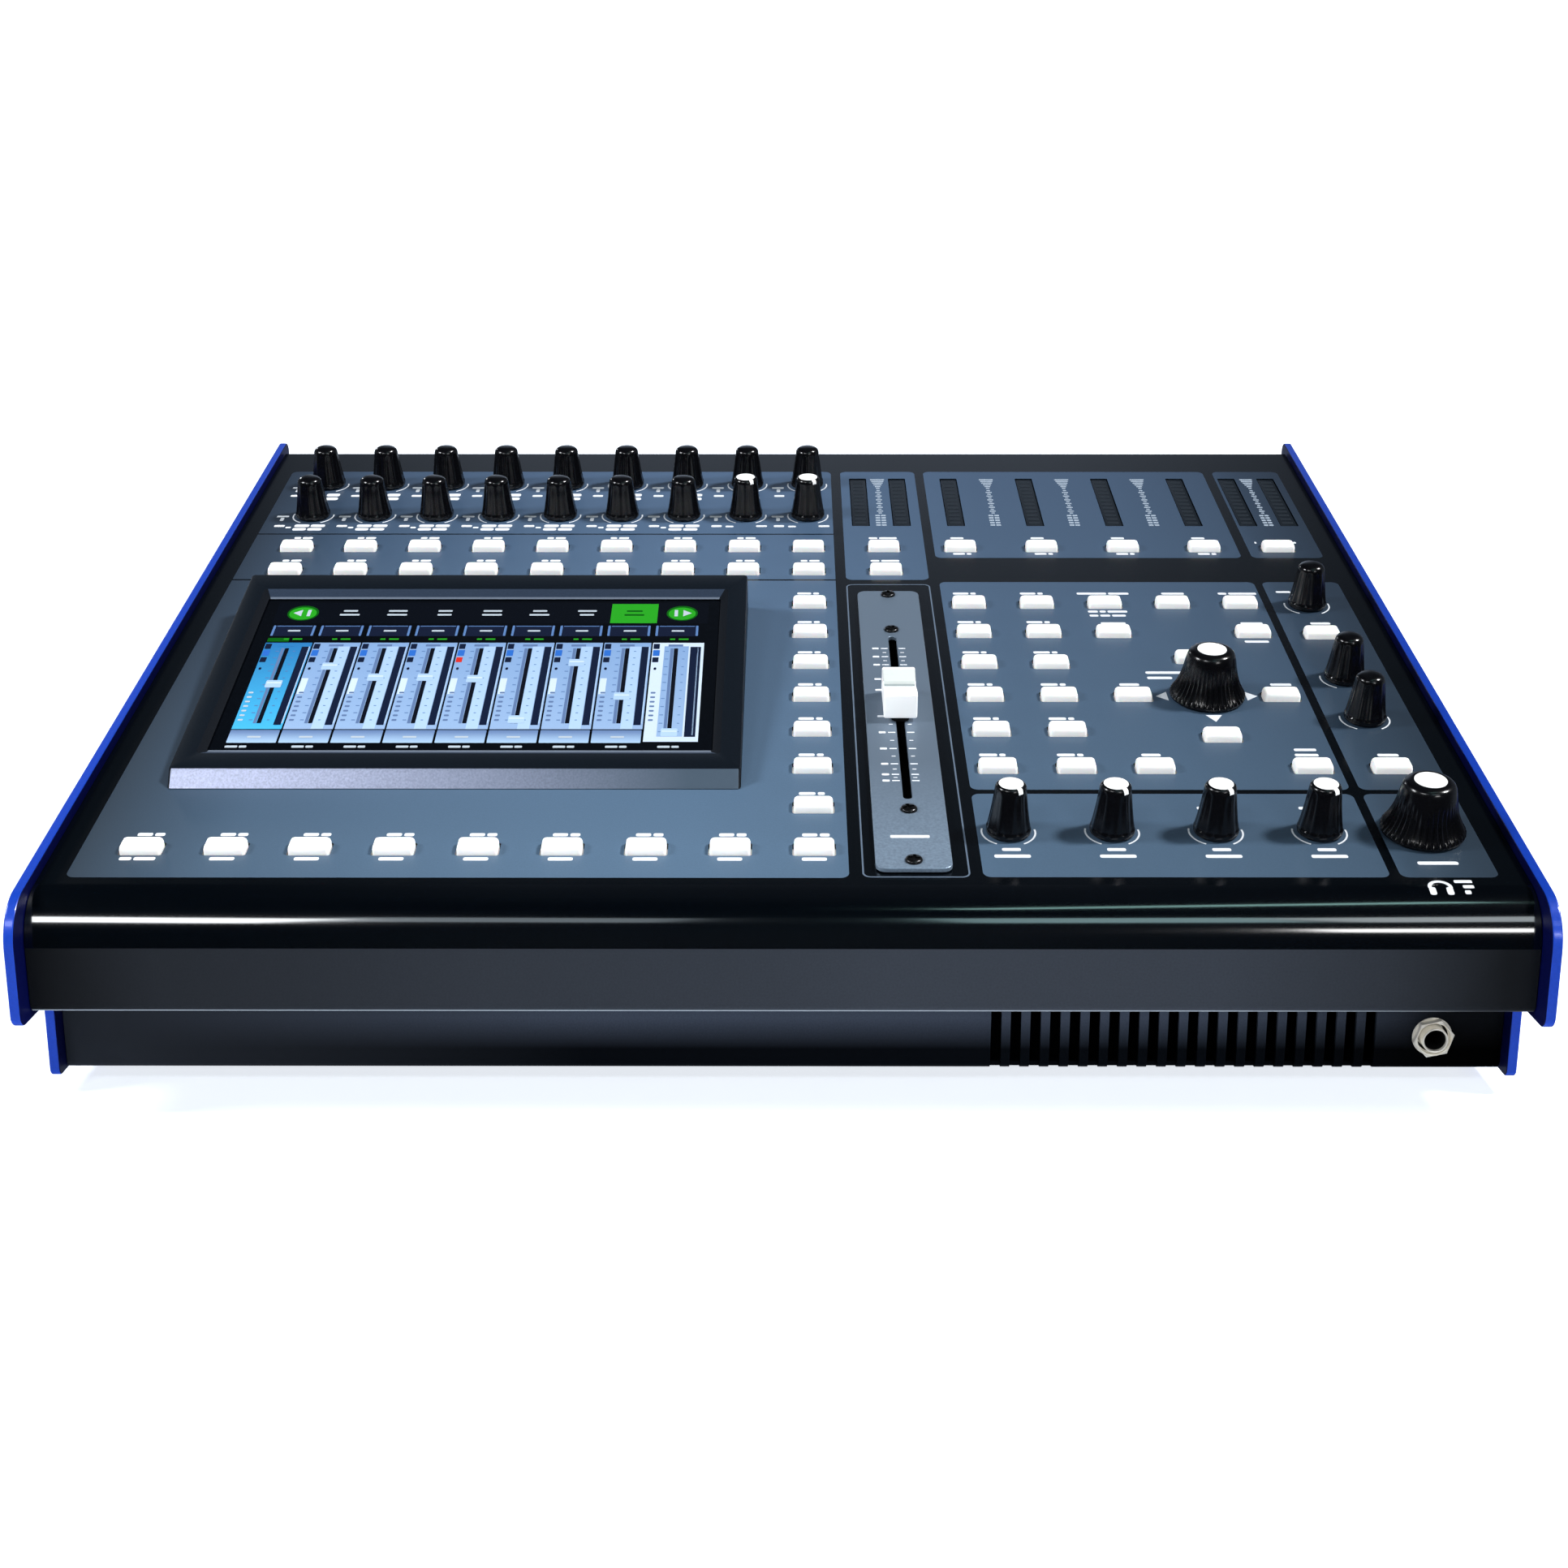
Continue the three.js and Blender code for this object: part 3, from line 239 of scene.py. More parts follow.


# Painted shade across the width of the deck print, the front face and the lower case: each (x,
# share) keeps that share of the colour.
PRINT_SIDE_SHADE = ((-0.209, 0.22), (-0.19, 0.42), (-0.165, 0.66), (-0.12, 0.82), (-0.07, 0.95),
              (-0.03, 1.0), (0.01, 0.92), (0.05, 0.84), (0.08, 0.76), (0.13, 0.71),
              (0.156, 0.63), (0.177, 0.55), (0.185, 0.4), (0.206, 0.25))
FRONT_SIDE_SHADE = ((-0.213, 0.15), (-0.18, 0.42), (-0.133, 0.54), (-0.086, 0.72), (-0.039, 0.8),
              (0.0, 0.88), (0.031, 1.0), (0.126, 0.97), (0.173, 0.65), (0.208, 0.2))
TRAY_SIDE_SHADE = ((-0.21, 1.0), (0.13, 1.0), (0.173, 0.6), (0.2, 0.08))
FINISH = {
    "deck": material("deck_gloss_black", (0.0009, 0.0018, 0.003), 0.2, specular=0.25,
                     variation=0.3, grain=1400, bump=0.0, spread=0.02, coat=0.12,
                     coat_roughness=0.15),
    "nose": material("nose_gloss_black", (0.0006, 0.0014, 0.0026), 0.12, specular=0.8,
                     variation=0.3, grain=1400, bump=0.0, spread=0.01, coat=1.0),
    # The front face darkens towards both ends: painted shade.
    "front": material("front_satin_blue_black", (0.031, 0.0375, 0.051), 0.42, specular=0.2,
                      variation=0.2, grain=1500, side_shade=FRONT_SIDE_SHADE),
    # The round at the foot of the front face is a light copy of the front's black: a painted
    # highlight along the bend, with painted shade towards the right end.
    "fold": material("front_fold_painted_highlight", (0.27, 0.31, 0.35), 0.35, variation=0.15,
                     grain=1500, bump=0.03, side_shade=TRAY_SIDE_SHADE),
    # The lower case darkens towards its bottom edge and towards both ends: painted shade.
    "tray": material("tray_powder_black", (0.043, 0.054, 0.078), 0.5, specular=0.03,
                     variation=0.2, grain=1800, bump=0.1, side_shade=TRAY_SIDE_SHADE, ramps=[
                         ((0.0, 0.0, 1.0), 0.0225, 0.0125, (0.002, 0.0032, 0.0055)),
                         ((1.0, 0.0, 0.0), -0.06, -0.2, (0.016, 0.019, 0.025))]),
    "rear": material("rear_satin_black", (0.0085, 0.009, 0.0105), 0.38, specular=0.3,
                     variation=0.3, grain=1500, bump=0.06),
    # The slate print darkens towards the back and towards both sides: painted shade.
    "print": material("print_slate_blue", (0.087, 0.148, 0.228), 0.42, specular=0.3,
                      variation=0.14, grain=2200, spread=0.08, side_shade=PRINT_SIDE_SHADE,
                      ramps=[(UP_SLOPE, slope_at(-20), slope_at(330), (0.062, 0.108, 0.19))]),
    "line": material("print_fine_line", (0.11, 0.15, 0.21), 0.45, variation=0.2),
    "white": material("print_white", (0.8, 0.83, 0.88), 0.5, variation=0.08, grain=2600),
    "faded": material("print_fine_scale", (0.36, 0.43, 0.52), 0.5, variation=0.15, grain=2600),
    "cheek": material("cheek_blue", (0.007, 0.048, 0.42), 0.31, metallic=0.1, specular=0.3,
                      variation=0.16, grain=1130, bump=0.0, spread=0.03, coat=0.3,
                      coat_roughness=0.12),
    # The faces that look in towards the deck take a much darker copy of the cheek blue: painted
    # shade.
    "cheek_inside_shade": material("cheek_blue_painted_shade", (0.0008, 0.002, 0.04), 0.4, specular=0.15,
                             variation=0.16, grain=1130, bump=0.06),
    # The white keys glow, which lights their shaded fronts and sides: painted light.
    "key": material("key_white_silicone_painted_glow", (0.88, 0.88, 0.86), 0.5, specular=0.4,
                    variation=0.03, grain=700, bump=0.04, subsurface=0.25, spread=0.1,
                    glow=0.34),
    "knob": material("knob_gloss_black", (0.0025, 0.0026, 0.0035), 0.19, specular=0.4,
                     variation=0.3, grain=1500, bump=0.02, spread=0.05),
    # The white print on the knobs glows a little: painted light.
    "pointer": material("knob_white_print_painted_glow", (0.93, 0.93, 0.92), 0.35, variation=0.03,
                        grain=1200, bump=0.02, glow=0.15),
    "bezel": material("bezel_satin_black", (0.004, 0.0065, 0.0105), 0.38, specular=0.12,
                      variation=0.4, grain=1600, bump=0.08),
    # The inner chamfer and rim are lighter copies of the bezel black: painted light on the slope
    # and a painted highlight line along the rim.
    "chamfer": material("bezel_chamfer_painted_light", (0.024, 0.036, 0.06), 0.34, specular=0.25,
                        variation=0.3, grain=1600),
    "rim": material("bezel_rim_painted_highlight", (0.12, 0.145, 0.19), 0.34, specular=0.4,
                    variation=0.2, grain=1600),
    "well": material("bezel_inner_step", (0.004, 0.0055, 0.0085), 0.6, specular=0.1,
                     variation=0.4, grain=1600, bump=0.1),
    # The lip's silver grey is its own; the fade to dark towards the right end is painted shade.
    "lip": material("bezel_lip_speckled", (0.42, 0.45, 0.62), 0.42, metallic=0.2,
                    variation=0.5, grain=1500, bump=0.15, spread=0.08,
                    ramps=[((1.0, 0.0, 0.0), -0.18, -0.03, (0.06, 0.09, 0.13))]),
    "glass": material("touch_glass", (0.002, 0.0028, 0.0045), 0.08, specular=0.22,
                      variation=0.3, grain=500, bump=0.0, spread=0.03),
    # The fader plate darkens towards the back: painted shade.
    "plate": material("fader_plate_satin", (0.235, 0.312, 0.41), 0.38, metallic=0.4,
                      variation=0.4, grain=1100, bump=0.06,
                      ramps=[(UP_SLOPE, slope_at(0), slope_at(52), (0.162, 0.215, 0.284))]),
    "slot": material("slot_dark", (0.003, 0.003, 0.003), 0.7, specular=0.15, variation=0.4),
    # The white cap glows: painted light.
    "cap": material("fader_cap_white_painted_glow", (0.92, 0.93, 0.93), 0.36, variation=0.02, grain=800,
                    bump=0.02, subsurface=0.05, glow=0.36),
    # The grey in the cap's groove is partly the cap's own grey line and partly painted shade in the
    # valley.
    "groove": material("fader_cap_groove_line_and_shade", (0.32, 0.37, 0.38), 0.5, variation=0.1),
    # The cap's rear slope is a greyer copy of its white: painted shade falling towards the groove.
    "hollow": material("fader_cap_rear_painted_shade", (0.68, 0.72, 0.7), 0.4, variation=0.03, grain=800),
    "screw": material("screw_black_zinc", (0.03, 0.03, 0.032), 0.28, metallic=0.9,
                      variation=0.25, grain=1300, bump=0.08),
    "lens": material("meter_lens_smoked", (0.005, 0.008, 0.012), 0.26, specular=0.18,
                     variation=0.3, grain=600, bump=0.02),
    "segment": material("meter_segment_dull", (0.012, 0.017, 0.023), 0.45, specular=0.2,
                        variation=0.2),
    "nickel": material("nickel", (0.62, 0.61, 0.58), 0.22, metallic=1.0, variation=0.08,
                       bump=0.03, spread=0.08),
    # The headphone nut and sleeve glow, standing in for the light they would reflect: painted
    # light.
    "nickel_painted_light": material("nickel_painted_glow", (0.88, 0.85, 0.77), 0.22, metallic=0.5,
                              variation=0.1, bump=0.03, glow=0.11),
    "zinc": material("zinc_plate", (0.42, 0.43, 0.44), 0.42, metallic=1.0, variation=0.25,
                     grain=120, bump=0.08, spread=0.1),
    "moulded": material("moulded_black", (0.011, 0.011, 0.012), 0.46, specular=0.35,
                        variation=0.3, grain=1300, bump=0.12),
    "board": material("circuit_board_green", (0.012, 0.09, 0.035), 0.4, variation=0.3,
                      grain=160, bump=0.1),
    "rubber": material("foot_rubber", (0.012, 0.012, 0.013), 0.75, specular=0.25,
                       variation=0.35, grain=1500, bump=0.25),
    "floor": material("floor_pale", (0.82, 0.86, 0.92), 0.55, specular=0.2, variation=0.012,
                      grain=60, bump=0.0, patches=3, glow=0.9),
    "wall": material("wall_pale", (0.97, 0.98, 1.0), 0.9, specular=0.0, variation=0.008,
                     grain=60, bump=0.0, patches=3, glow=1.05),
}


def display(name, colour, *ramps, glow=0.45):
    """A lit patch of the picture, under the same gloss as the glass around it."""
    return material(name, colour, 0.12, specular=0.3, variation=0.07, grain=3500, bump=0.0,
                    spread=0.04, glow=glow, ramps=ramps)


SCREEN_UP = (0.0, math.cos(SLOPE + SCREEN_TILT), math.sin(SLOPE + SCREEN_TILT))
SCREEN_ORIGIN = (SCREEN @ Vector((0, 0, 0))).dot(Vector(SCREEN_UP))


def screen_ramp(y0, y1, colour):
    return (SCREEN_UP, (SCREEN_ORIGIN + y0) * MM, (SCREEN_ORIGIN + y1) * MM, colour)


PICTURE = {
    "header": display("picture_header", (0.0018, 0.0026, 0.0048)),
    "navy": display("picture_navy", (0.005, 0.008, 0.022)),
    "edge": display("picture_light_blue", (0.07, 0.14, 0.3)),
    "green": display("picture_green", (0.015, 0.23, 0.011)),
    "dark_green": display("picture_dark_green", (0.003, 0.07, 0.004)),
    "text": display("picture_label", (0.34, 0.39, 0.44)),
    "cyan": display("picture_cyan", (0.045, 0.32, 0.55),
                    screen_ramp(24, 80, (0.018, 0.12, 0.3))),
    "pale": display("picture_pale_blue", (0.21, 0.31, 0.48),
                    screen_ramp(24, 80, (0.15, 0.245, 0.42))),
    "bright": display("picture_pale_side", (0.3, 0.42, 0.58),
                      screen_ramp(24, 80, (0.26, 0.37, 0.54))),
    "paper": display("picture_white", (0.42, 0.5, 0.6)),
    "black": display("picture_black", (0.003, 0.004, 0.008)),
    "meter": display("picture_meter", (0.005, 0.009, 0.026)),
    "icon": display("picture_icon_blue", (0.02, 0.1, 0.38)),
    "red": display("picture_red", (0.45, 0.02, 0.014)),
    "button": display("picture_button", (0.27, 0.39, 0.55),
                      screen_ramp(17, 23, (0.1, 0.16, 0.3))),
    "shade": display("picture_shade", (0.08, 0.13, 0.25)),
}


# ---- shape helpers -----------------------------------------------------------------------
def rounded_rect(x, y, width, height, radius=0.0, steps=5, corners=(1, 1, 1, 1)):
    """Counter-clockwise outline about its middle; corners scales the radius from lower left on."""
    points = []
    signs = ((-1, -1, 180), (1, -1, 270), (1, 1, 0), (-1, 1, 90))
    for (sx, sy, start), share in zip(signs, corners):
        r = radius * share
        cx = x + sx * (width / 2 - r)
        cy = y + sy * (height / 2 - r)
        if r <= 0:
            points.append((cx, cy))
            continue
        for k in range(steps + 1):
            angle = math.radians(start + 90 * k / steps)
            points.append((cx + r * math.cos(angle), cy + r * math.sin(angle)))
    return points


def span(x0, x1, y0, y1, radius=0.0, **options):
    return rounded_rect((x0 + x1) / 2, (y0 + y1) / 2, x1 - x0, y1 - y0, radius, **options)


def circle(x, y, radius, steps=32, turn=0.0, tall=None):
    """Counter-clockwise from the angle turn; tall is the radius along y, where it differs."""
    angles = [turn + 2 * math.pi * k / steps for k in range(steps)]
    return [(x + radius * math.cos(a), y + (tall or radius) * math.sin(a)) for a in angles]


def arc_band(x, y, radius, width, start, end, steps=14):
    """A bent stripe from one angle to another, in degrees."""
    angles = [math.radians(start + (end - start) * k / steps) for k in range(steps + 1)]
    outer, inner = ([(x + r * math.cos(a), y + r * math.sin(a)) for a in angles]
                    for r in (radius + width / 2, radius - width / 2))
    return outer + inner[::-1]


def filleted(corners, steps=16):
    """Rounds each (a, b, radius) corner of a closed outline."""
    points = []
    count = len(corners)
    for i, corner in enumerate(corners):
        here = Vector(corner[:2])
        radius = corner[2] if len(corner) > 2 else 0
        if not radius:
            points.append(tuple(here))
            continue
        before = (Vector(corners[i - 1][:2]) - here).normalized()
        after = (Vector(corners[(i + 1) % count][:2]) - here).normalized()
        half = before.angle(after) / 2
        centre = here + (before + after).normalized() * (radius / math.sin(half))
        reach = radius / math.tan(half)
        first = here + before * reach - centre
        last = here + after * reach - centre
        sweep = first.angle_signed(last)
        angle = math.atan2(first.y, first.x)
        for k in range(steps + 1):
            turned = angle - sweep * k / steps
            points.append((centre.x + radius * math.cos(turned),
                           centre.y + radius * math.sin(turned)))
    return points


def area(outline):
    return sum(
        a[0] * b[1] - b[0] * a[1] for a, b in zip(outline, outline[1:] + outline[:1])
    ) / 2


def plate_mesh(outlines, low, high, bevel=0.0, holes=(), bevel_steps=2):
    """A flat piece with the given outlines and holes, from low to high, with rounded rims."""
    curve = bpy.data.curves.new("plate", "CURVE")
    curve.dimensions = "2D"
    curve.fill_mode = "BOTH"
    curve.extrude = (high - low) / 2 - bevel
    curve.bevel_depth = bevel
    curve.bevel_resolution = bevel_steps
    curve.offset = -bevel
    turned = [(o, 1) for o in outlines] + [(h, -1) for h in holes]
    for outline, sign in turned:
        if area(outline) * sign < 0:
            outline = outline[::-1]
        spline = curve.splines.new("POLY")
        spline.points.add(len(outline) - 1)
        for point, (a, b) in zip(spline.points, outline):
            point.co = (a, b, 0, 1)
        spline.use_cyclic_u = True
    holder = bpy.data.objects.new("plate", curve)
    bpy.context.scene.collection.objects.link(holder)
    mesh = bpy.data.meshes.new_from_object(holder)
    bpy.data.objects.remove(holder)
    bpy.data.curves.remove(curve)
    mesh.transform(Matrix.Translation((0, 0, (low + high) / 2)))
    mesh.materials.clear()
    return mesh


def loft_mesh(rings, hollow=False):
    """Joins rings of equal length into a body: flat ends close it, or hollow joins its ends."""
    count = len(rings[0])
    total = count * len(rings)
    faces = []
    for near in range(0, total if hollow else total - count, count):
        far = (near + count) % total
        for i in range(count):
            j = (i + 1) % count
            faces.append((near + i, near + j, far + j, far + i))
    if not hollow:
        faces.append(tuple(reversed(range(count))))
        faces.append(tuple(range(total - count, total)))
    mesh = bpy.data.meshes.new("loft")
    mesh.from_pydata([p for ring in rings for p in ring], [], faces)
    return mesh


def turned_mesh(profile, steps=48, wave=None, hollow=False):
    """Spins (radius, height) points about the vertical; wave(angle, height) scales the radius."""
    rings = []
    for radius, height in profile:
        ring = []
        for k in range(steps):
            angle = 2 * math.pi * k / steps
            r = radius * (wave(angle, height) if wave else 1)
            ring.append((r * math.cos(angle), r * math.sin(angle), height))
        rings.append(ring)
    return loft_mesh(rings, hollow)


def tube_mesh(profile, steps=48):
    """A tube wall from a profile that runs up its outside and down its inside."""
    return turned_mesh(profile, steps, hollow=True)


def box_mesh(x, y, z):
    return plate_mesh([span(*x, *y)], *z)


def moved(mesh, matrix):
    mesh.transform(matrix)
    return mesh


def shift(a, b, c=0.0):
    return Matrix.Translation((a, b, c))


def merged(parts):
    """One mesh from (mesh, finish index) pairs."""
    joined = bmesh.new()
    for mesh, index in parts:
        for polygon in mesh.polygons:
            polygon.material_index = index
        joined.from_mesh(mesh)
    result = bpy.data.meshes.new("merged")
    joined.to_mesh(result)
    joined.free()
    return result


def carved(mesh, cutters):
    """The mesh with the cutters taken out of it."""
    scene = bpy.context.scene.collection
    target = bpy.data.objects.new("target", mesh)
    tool = bpy.data.objects.new("tool", merged([(c, 0) for c in cutters]))
    scene.objects.link(target)
    scene.objects.link(tool)
    step = target.modifiers.new("cut", "BOOLEAN")
    step.object = tool
    step.solver = "EXACT"
    step.use_self = True
    bpy.context.view_layer.update()
    result = bpy.data.meshes.new_from_object(
        target.evaluated_get(bpy.context.evaluated_depsgraph_get())
    )
    bpy.data.objects.remove(target)
    bpy.data.objects.remove(tool)
    return result


def piece(name, mesh, finishes, place=PANEL, body="chassis", replaces=(), smooth=40):
    """Puts a finished mesh, drawn in millimetres, in its place on a body of the frame."""
    mesh.name = name
    welded = bmesh.new()
    welded.from_mesh(mesh)
    bmesh.ops.remove_doubles(welded, verts=welded.verts, dist=0.002)
    bmesh.ops.recalc_face_normals(welded, faces=welded.faces)
    welded.to_mesh(mesh)
    welded.free()
    mesh.transform(Matrix.Scale(MM, 4) @ place)
    mesh.shade_smooth()
    mesh.set_sharp_from_angle(angle=math.radians(smooth))
    indices = [polygon.material_index for polygon in mesh.polygons]
    mesh.materials.clear()
    for finish in finishes:
        mesh.materials.append(finish)
    mesh.polygons.foreach_set("material_index", indices)
    made = bpy.data.objects.new(name, mesh)
    bpy.context.scene.collection.objects.link(made)
    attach(made, body)
    if replaces:
        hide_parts(*replaces)
    return made


# ---- cheeks ------------------------------------------------------------------------------
def rise(y, n=0.0):
    """Height of the panel plane, lifted n along its normal, at y behind the panel origin."""
    return y * math.tan(SLOPE) + n / math.cos(SLOPE)


CHEEK = filleted([
    (-38.7, rise(-38.7, 3), 15.5), (-38.7, -42.2, 4), (-12, -42.2, 3),
    (-12, -67.8, 2.5), (330, -67.8, 4), (330, rise(330, 3), 4),
])
SCREW_PLACES = [(22, -50), (160, -50), (300, -50), (300, 50), (160, 14)]
SCREW_RADIUS = 3.0


def screw_mesh(radius, height):
    """A pan head with a cross recess, standing on zero."""
    head = turned_mesh(
        [(radius, 0), (radius, height * 0.35), (radius * 0.9, height * 0.72),
         (radius * 0.62, height * 0.95), (radius * 0.3, height)], 32)
    arm = radius * 0.68
    thick = radius * 0.19
    cuts = [box_mesh((-arm, arm), (-thick, thick), (height * 0.45, height + 1)),
            box_mesh((-thick, thick), (-arm, arm), (height * 0.45, height + 1))]
    return carved(head, cuts)


for side, outer in (("left", -220), ("right", 220)):
    inner = outer - math.copysign(3, outer)
    low, high = sorted((outer, inner))
    holes = [circle(a, b, SCREW_RADIUS + 0.5) for a, b in SCREW_PLACES]
    flip = 1 if outer > 0 else -1
    cheek = plate_mesh([CHEEK], low, high, 0.45, holes, 3)
    # Faces looking in towards the deck get the darker copy of the blue: painted shade.
    for polygon in cheek.polygons:
        polygon.material_index = 1 if polygon.normal.z * flip < -0.8 else 0
    piece(f"{side}_cheek_plate", cheek, [FINISH["cheek"], FINISH["cheek_inside_shade"]], SIDE,
          replaces=[f"{side}_cheek"], smooth=8)
    for number, (a, b) in enumerate(SCREW_PLACES, 1):
        turn = Matrix.Scale(flip, 4, (0, 0, 1))
        spin = Matrix.Rotation(0.4 * number, 4, "Z")
        screw = moved(screw_mesh(SCREW_RADIUS, 2.0), shift(a, b, inner + flip * 0.6) @ turn @ spin)
        piece(f"{side}_cheek_screw_{number}", screw, [FINISH["screw"]], SIDE)

# ---- top panel ---------------------------------------------------------------------------
SHEET = 1.5
SEAM_V = -18.6
PANEL_BACK_V = 332
KEY_WIDTH = 12.2
KEY_DEPTH = 6.6
slots = [rounded_rect(x, v, KEY_WIDTH + 0.8, KEY_DEPTH + 0.8, 0.9) for x, v in KEYS]
shafts = [circle(x, v, 3.6, 20) for x, v in (*SMALL_KNOBS.values(), *LARGE_KNOBS.values())]
METER_V = 276.6
windows = [rounded_rect(x, METER_V, 7.2, 52, 0.5) for x in METER_WINDOWS]
screen_hole = span(-186.4, -19.4, 46, 163)
fader_hole = span(FADER_X - 3.4, FADER_X + 3.4, 25.4, 145.9)
deck_flat = plate_mesh(
    [span(-INNER_HALF, INNER_HALF, SEAM_V, PANEL_BACK_V)], -SHEET, 0, 0,
    [*slots, *shafts, *windows, screen_hole, fader_hole])


def on_slope(v, n):
    return (v * math.cos(SLOPE) - n * math.sin(SLOPE), v * math.sin(SLOPE) + n * math.cos(SLOPE))


# The sheet runs over the nose, down the front face and back under it, to the recessed tray.
NOSE_BEND = 16
FOLD_BEND = 3.0
FACE = -31
FACE_LOW = -40.2
FOLD_END = -6.3
nose_outline = filleted([
    on_slope(SEAM_V, 0), (FACE, rise(FACE), NOSE_BEND), (FACE, FACE_LOW, FOLD_BEND),
    (FOLD_END, FACE_LOW), (FOLD_END, FACE_LOW + SHEET),
    (FACE + SHEET, FACE_LOW + SHEET, FOLD_BEND - SHEET),
    (FACE + SHEET, rise(FACE + SHEET, -SHEET), NOSE_BEND - SHEET), on_slope(SEAM_V, -SHEET),
], 24)
deck_nose = plate_mesh([nose_outline], -INNER_HALF, INNER_HALF)
deck_nose = moved(deck_nose, PANEL.inverted() @ SIDE)
shell = merged([(deck_flat, 0), (deck_nose, 0)])
TO_SIDE = SIDE.inverted() @ PANEL
# Where one finish ends and the next begins: deck, nose, front face, and the fold's round, which
# carries a painted highlight.
NOSE_FAR = -18.9
NOSE_LOW = -20.8
FOLD_LOW = -39.3
FOLD_BACK = -29
for polygon in shell.polygons:
    back, up, right = TO_SIDE @ polygon.center
    polygon.material_index = 1 if up < NOSE_LOW else 2 if back < NOSE_FAR else 0
    if up < FOLD_LOW and back < FOLD_BACK:
        polygon.material_index = 3
piece("deck_shell", shell, [FINISH["deck"], FINISH["front"], FINISH["nose"], FINISH["fold"]],
      replaces=["top_panel"])

# ---- printing on the deck ----------------------------------------------------------------
# Heights over the deck: a block is printed first, and a mark stands out over the block.
INK_LOW = 0.02
INK_HIGH = 0.06
MARK_HIGH = 0.1
deck_holes = [*slots, *shafts, *windows]


def inside(outline, x0, x1, v0, v1):
    return all(x0 < a < x1 and v0 < b < v1 for a, b in outline)


def ink_block(x0, x1, v0, v1, corners, extra=()):
    holes = [hole for hole in (*deck_holes, *extra) if inside(hole, x0, x1, v0, v1)]
    outline = span(x0, x1, v0, v1, 2.6, corners=corners)
    return plate_mesh([outline], INK_LOW, INK_HIGH, 0, holes)


FRONT_ENDS = (1, 1, 0, 0)
BACK_ENDS = (0, 0, 1, 1)
ALL_ROUND = (1, 1, 1, 1)
MIDDLE = (0, 0, 0, 0)
blocks = [
    (-209, 19.4, 242.6, 310.5, BACK_ENDS), (-209, 19.4, 198.0, 241.6, MIDDLE),
    (-209, 19.4, -16, 196.8, FRONT_ENDS),
    (23.4, 54.8, 197.5, 310.5, ALL_ROUND),
    (58.5, 177, 218.5, 310.5, ALL_ROUND), (181, 208.7, 218.5, 310.5, ALL_ROUND),
    (58.5, 177, 36.2, 195.5, ALL_ROUND), (180, 208.7, 36.2, 195.5, ALL_ROUND),
    (58.5, 177, -15.5, 33.6, ALL_ROUND), (180, 208.7, -15.5, 33.6, ALL_ROUND),
]
ink = [(ink_block(*block, extra=[screen_hole]), 0) for block in blocks]
piece("deck_print_blocks", merged(ink), [FINISH["print"]])
frame_line = plate_mesh([span(23.3, 54.8, -15.7, 193.4, 2.4)], INK_LOW, INK_HIGH, 0,
                        [span(23.8, 54.3, -15.2, 192.9, 2.0)])
piece("fader_zone_line", frame_line, [FINISH["line"]])

# Every legend is a plain bar, so that no word is shown.
marks = []


def bar(x, v, width, height=1.2):
    marks.append(rounded_rect(x, v, width, height, min(width, height) * 0.3, 2))


def words(x, v, *widths, height=1.2, gap=0.7):
    total = sum(widths) + gap * (len(widths) - 1)
    left = x - total / 2
    for width in widths:
        bar(left + width / 2, v, width, height)
        left += width + gap


def behind(v):
    """A key cap hides the print just behind it; legends stand clear of that, more so further up."""
    return v + 8.4 + 0.0085 * v


def legend(x, v, *widths):
    words(x, behind(v), *widths, height=1.8)


for i, (x, v) in enumerate(KEY_BANKS["keys_page_row"]):
    legend(x + 0.6, v, 4.6, 3.0)
    words(x, v - 5.6, *((3.6, 6.4) if i == 0 else (7.4,)), height=1.8)
for x, v in KEY_BANKS["keys_bank_column"]:
    legend(x - 0.4, v, 5.2, 2.2)
for x, v in KEY_BANKS["keys_channel_on"] + KEY_BANKS["keys_channel_select"][:-1]:
    legend(x + 0.6, v, 2.6, 4.0)
for x, v in KEY_BANKS["keys_strip_pair"]:
    legend(x, v, 3.4, 7.0)
for x, v in KEY_BANKS["keys_meter_row"][:4]:
    words(x + 0.4, v - 5.3, 4.6, 1.8, height=1.7)
    legend(x - 0.6, v, 5.2)
bar(SIDE_X - 7.6, 233.6, 0.7, 1.6)
bar(SIDE_X + 7.6, 233.6, 1.4, 1.6)
for x, v in KEY_BANKS["keys_group_grid"]:
    legend(x - 1, v, 5.8, 2.0)
for x, v, *widths in (
        (118.2, 50, 6.2), (168.2, 50, 7.6), (194.3, 50, 6.8), (118.2, 100, 6.8),
        (170.0, 100, 7.2), (119.3, 149, 9.0), (169.4, 149, 8.0), (194.3, 149, 7.2),
        (118.8, 175, 11.0, 7.6), (144.9, 175, 8.4), (168.9, 175, 3.2, 10.4)):
    legend(x, v, *widths)
words(118.6, 168.9, 3.6, 2.2, 7.2, height=1.7)
words(118.2, 165.4, 3.2, 3.6, 5.0, height=1.7)
words(168.4, 143.4, 8.6, height=1.7)
words(168.4, 62.4, 7.2, height=1.7)
words(131.4, 118.5, 12.6, height=1.9)
words(129.4, 114.4, 8.6, height=1.9)
words(186.4, 186.4, 5.4, height=1.6)

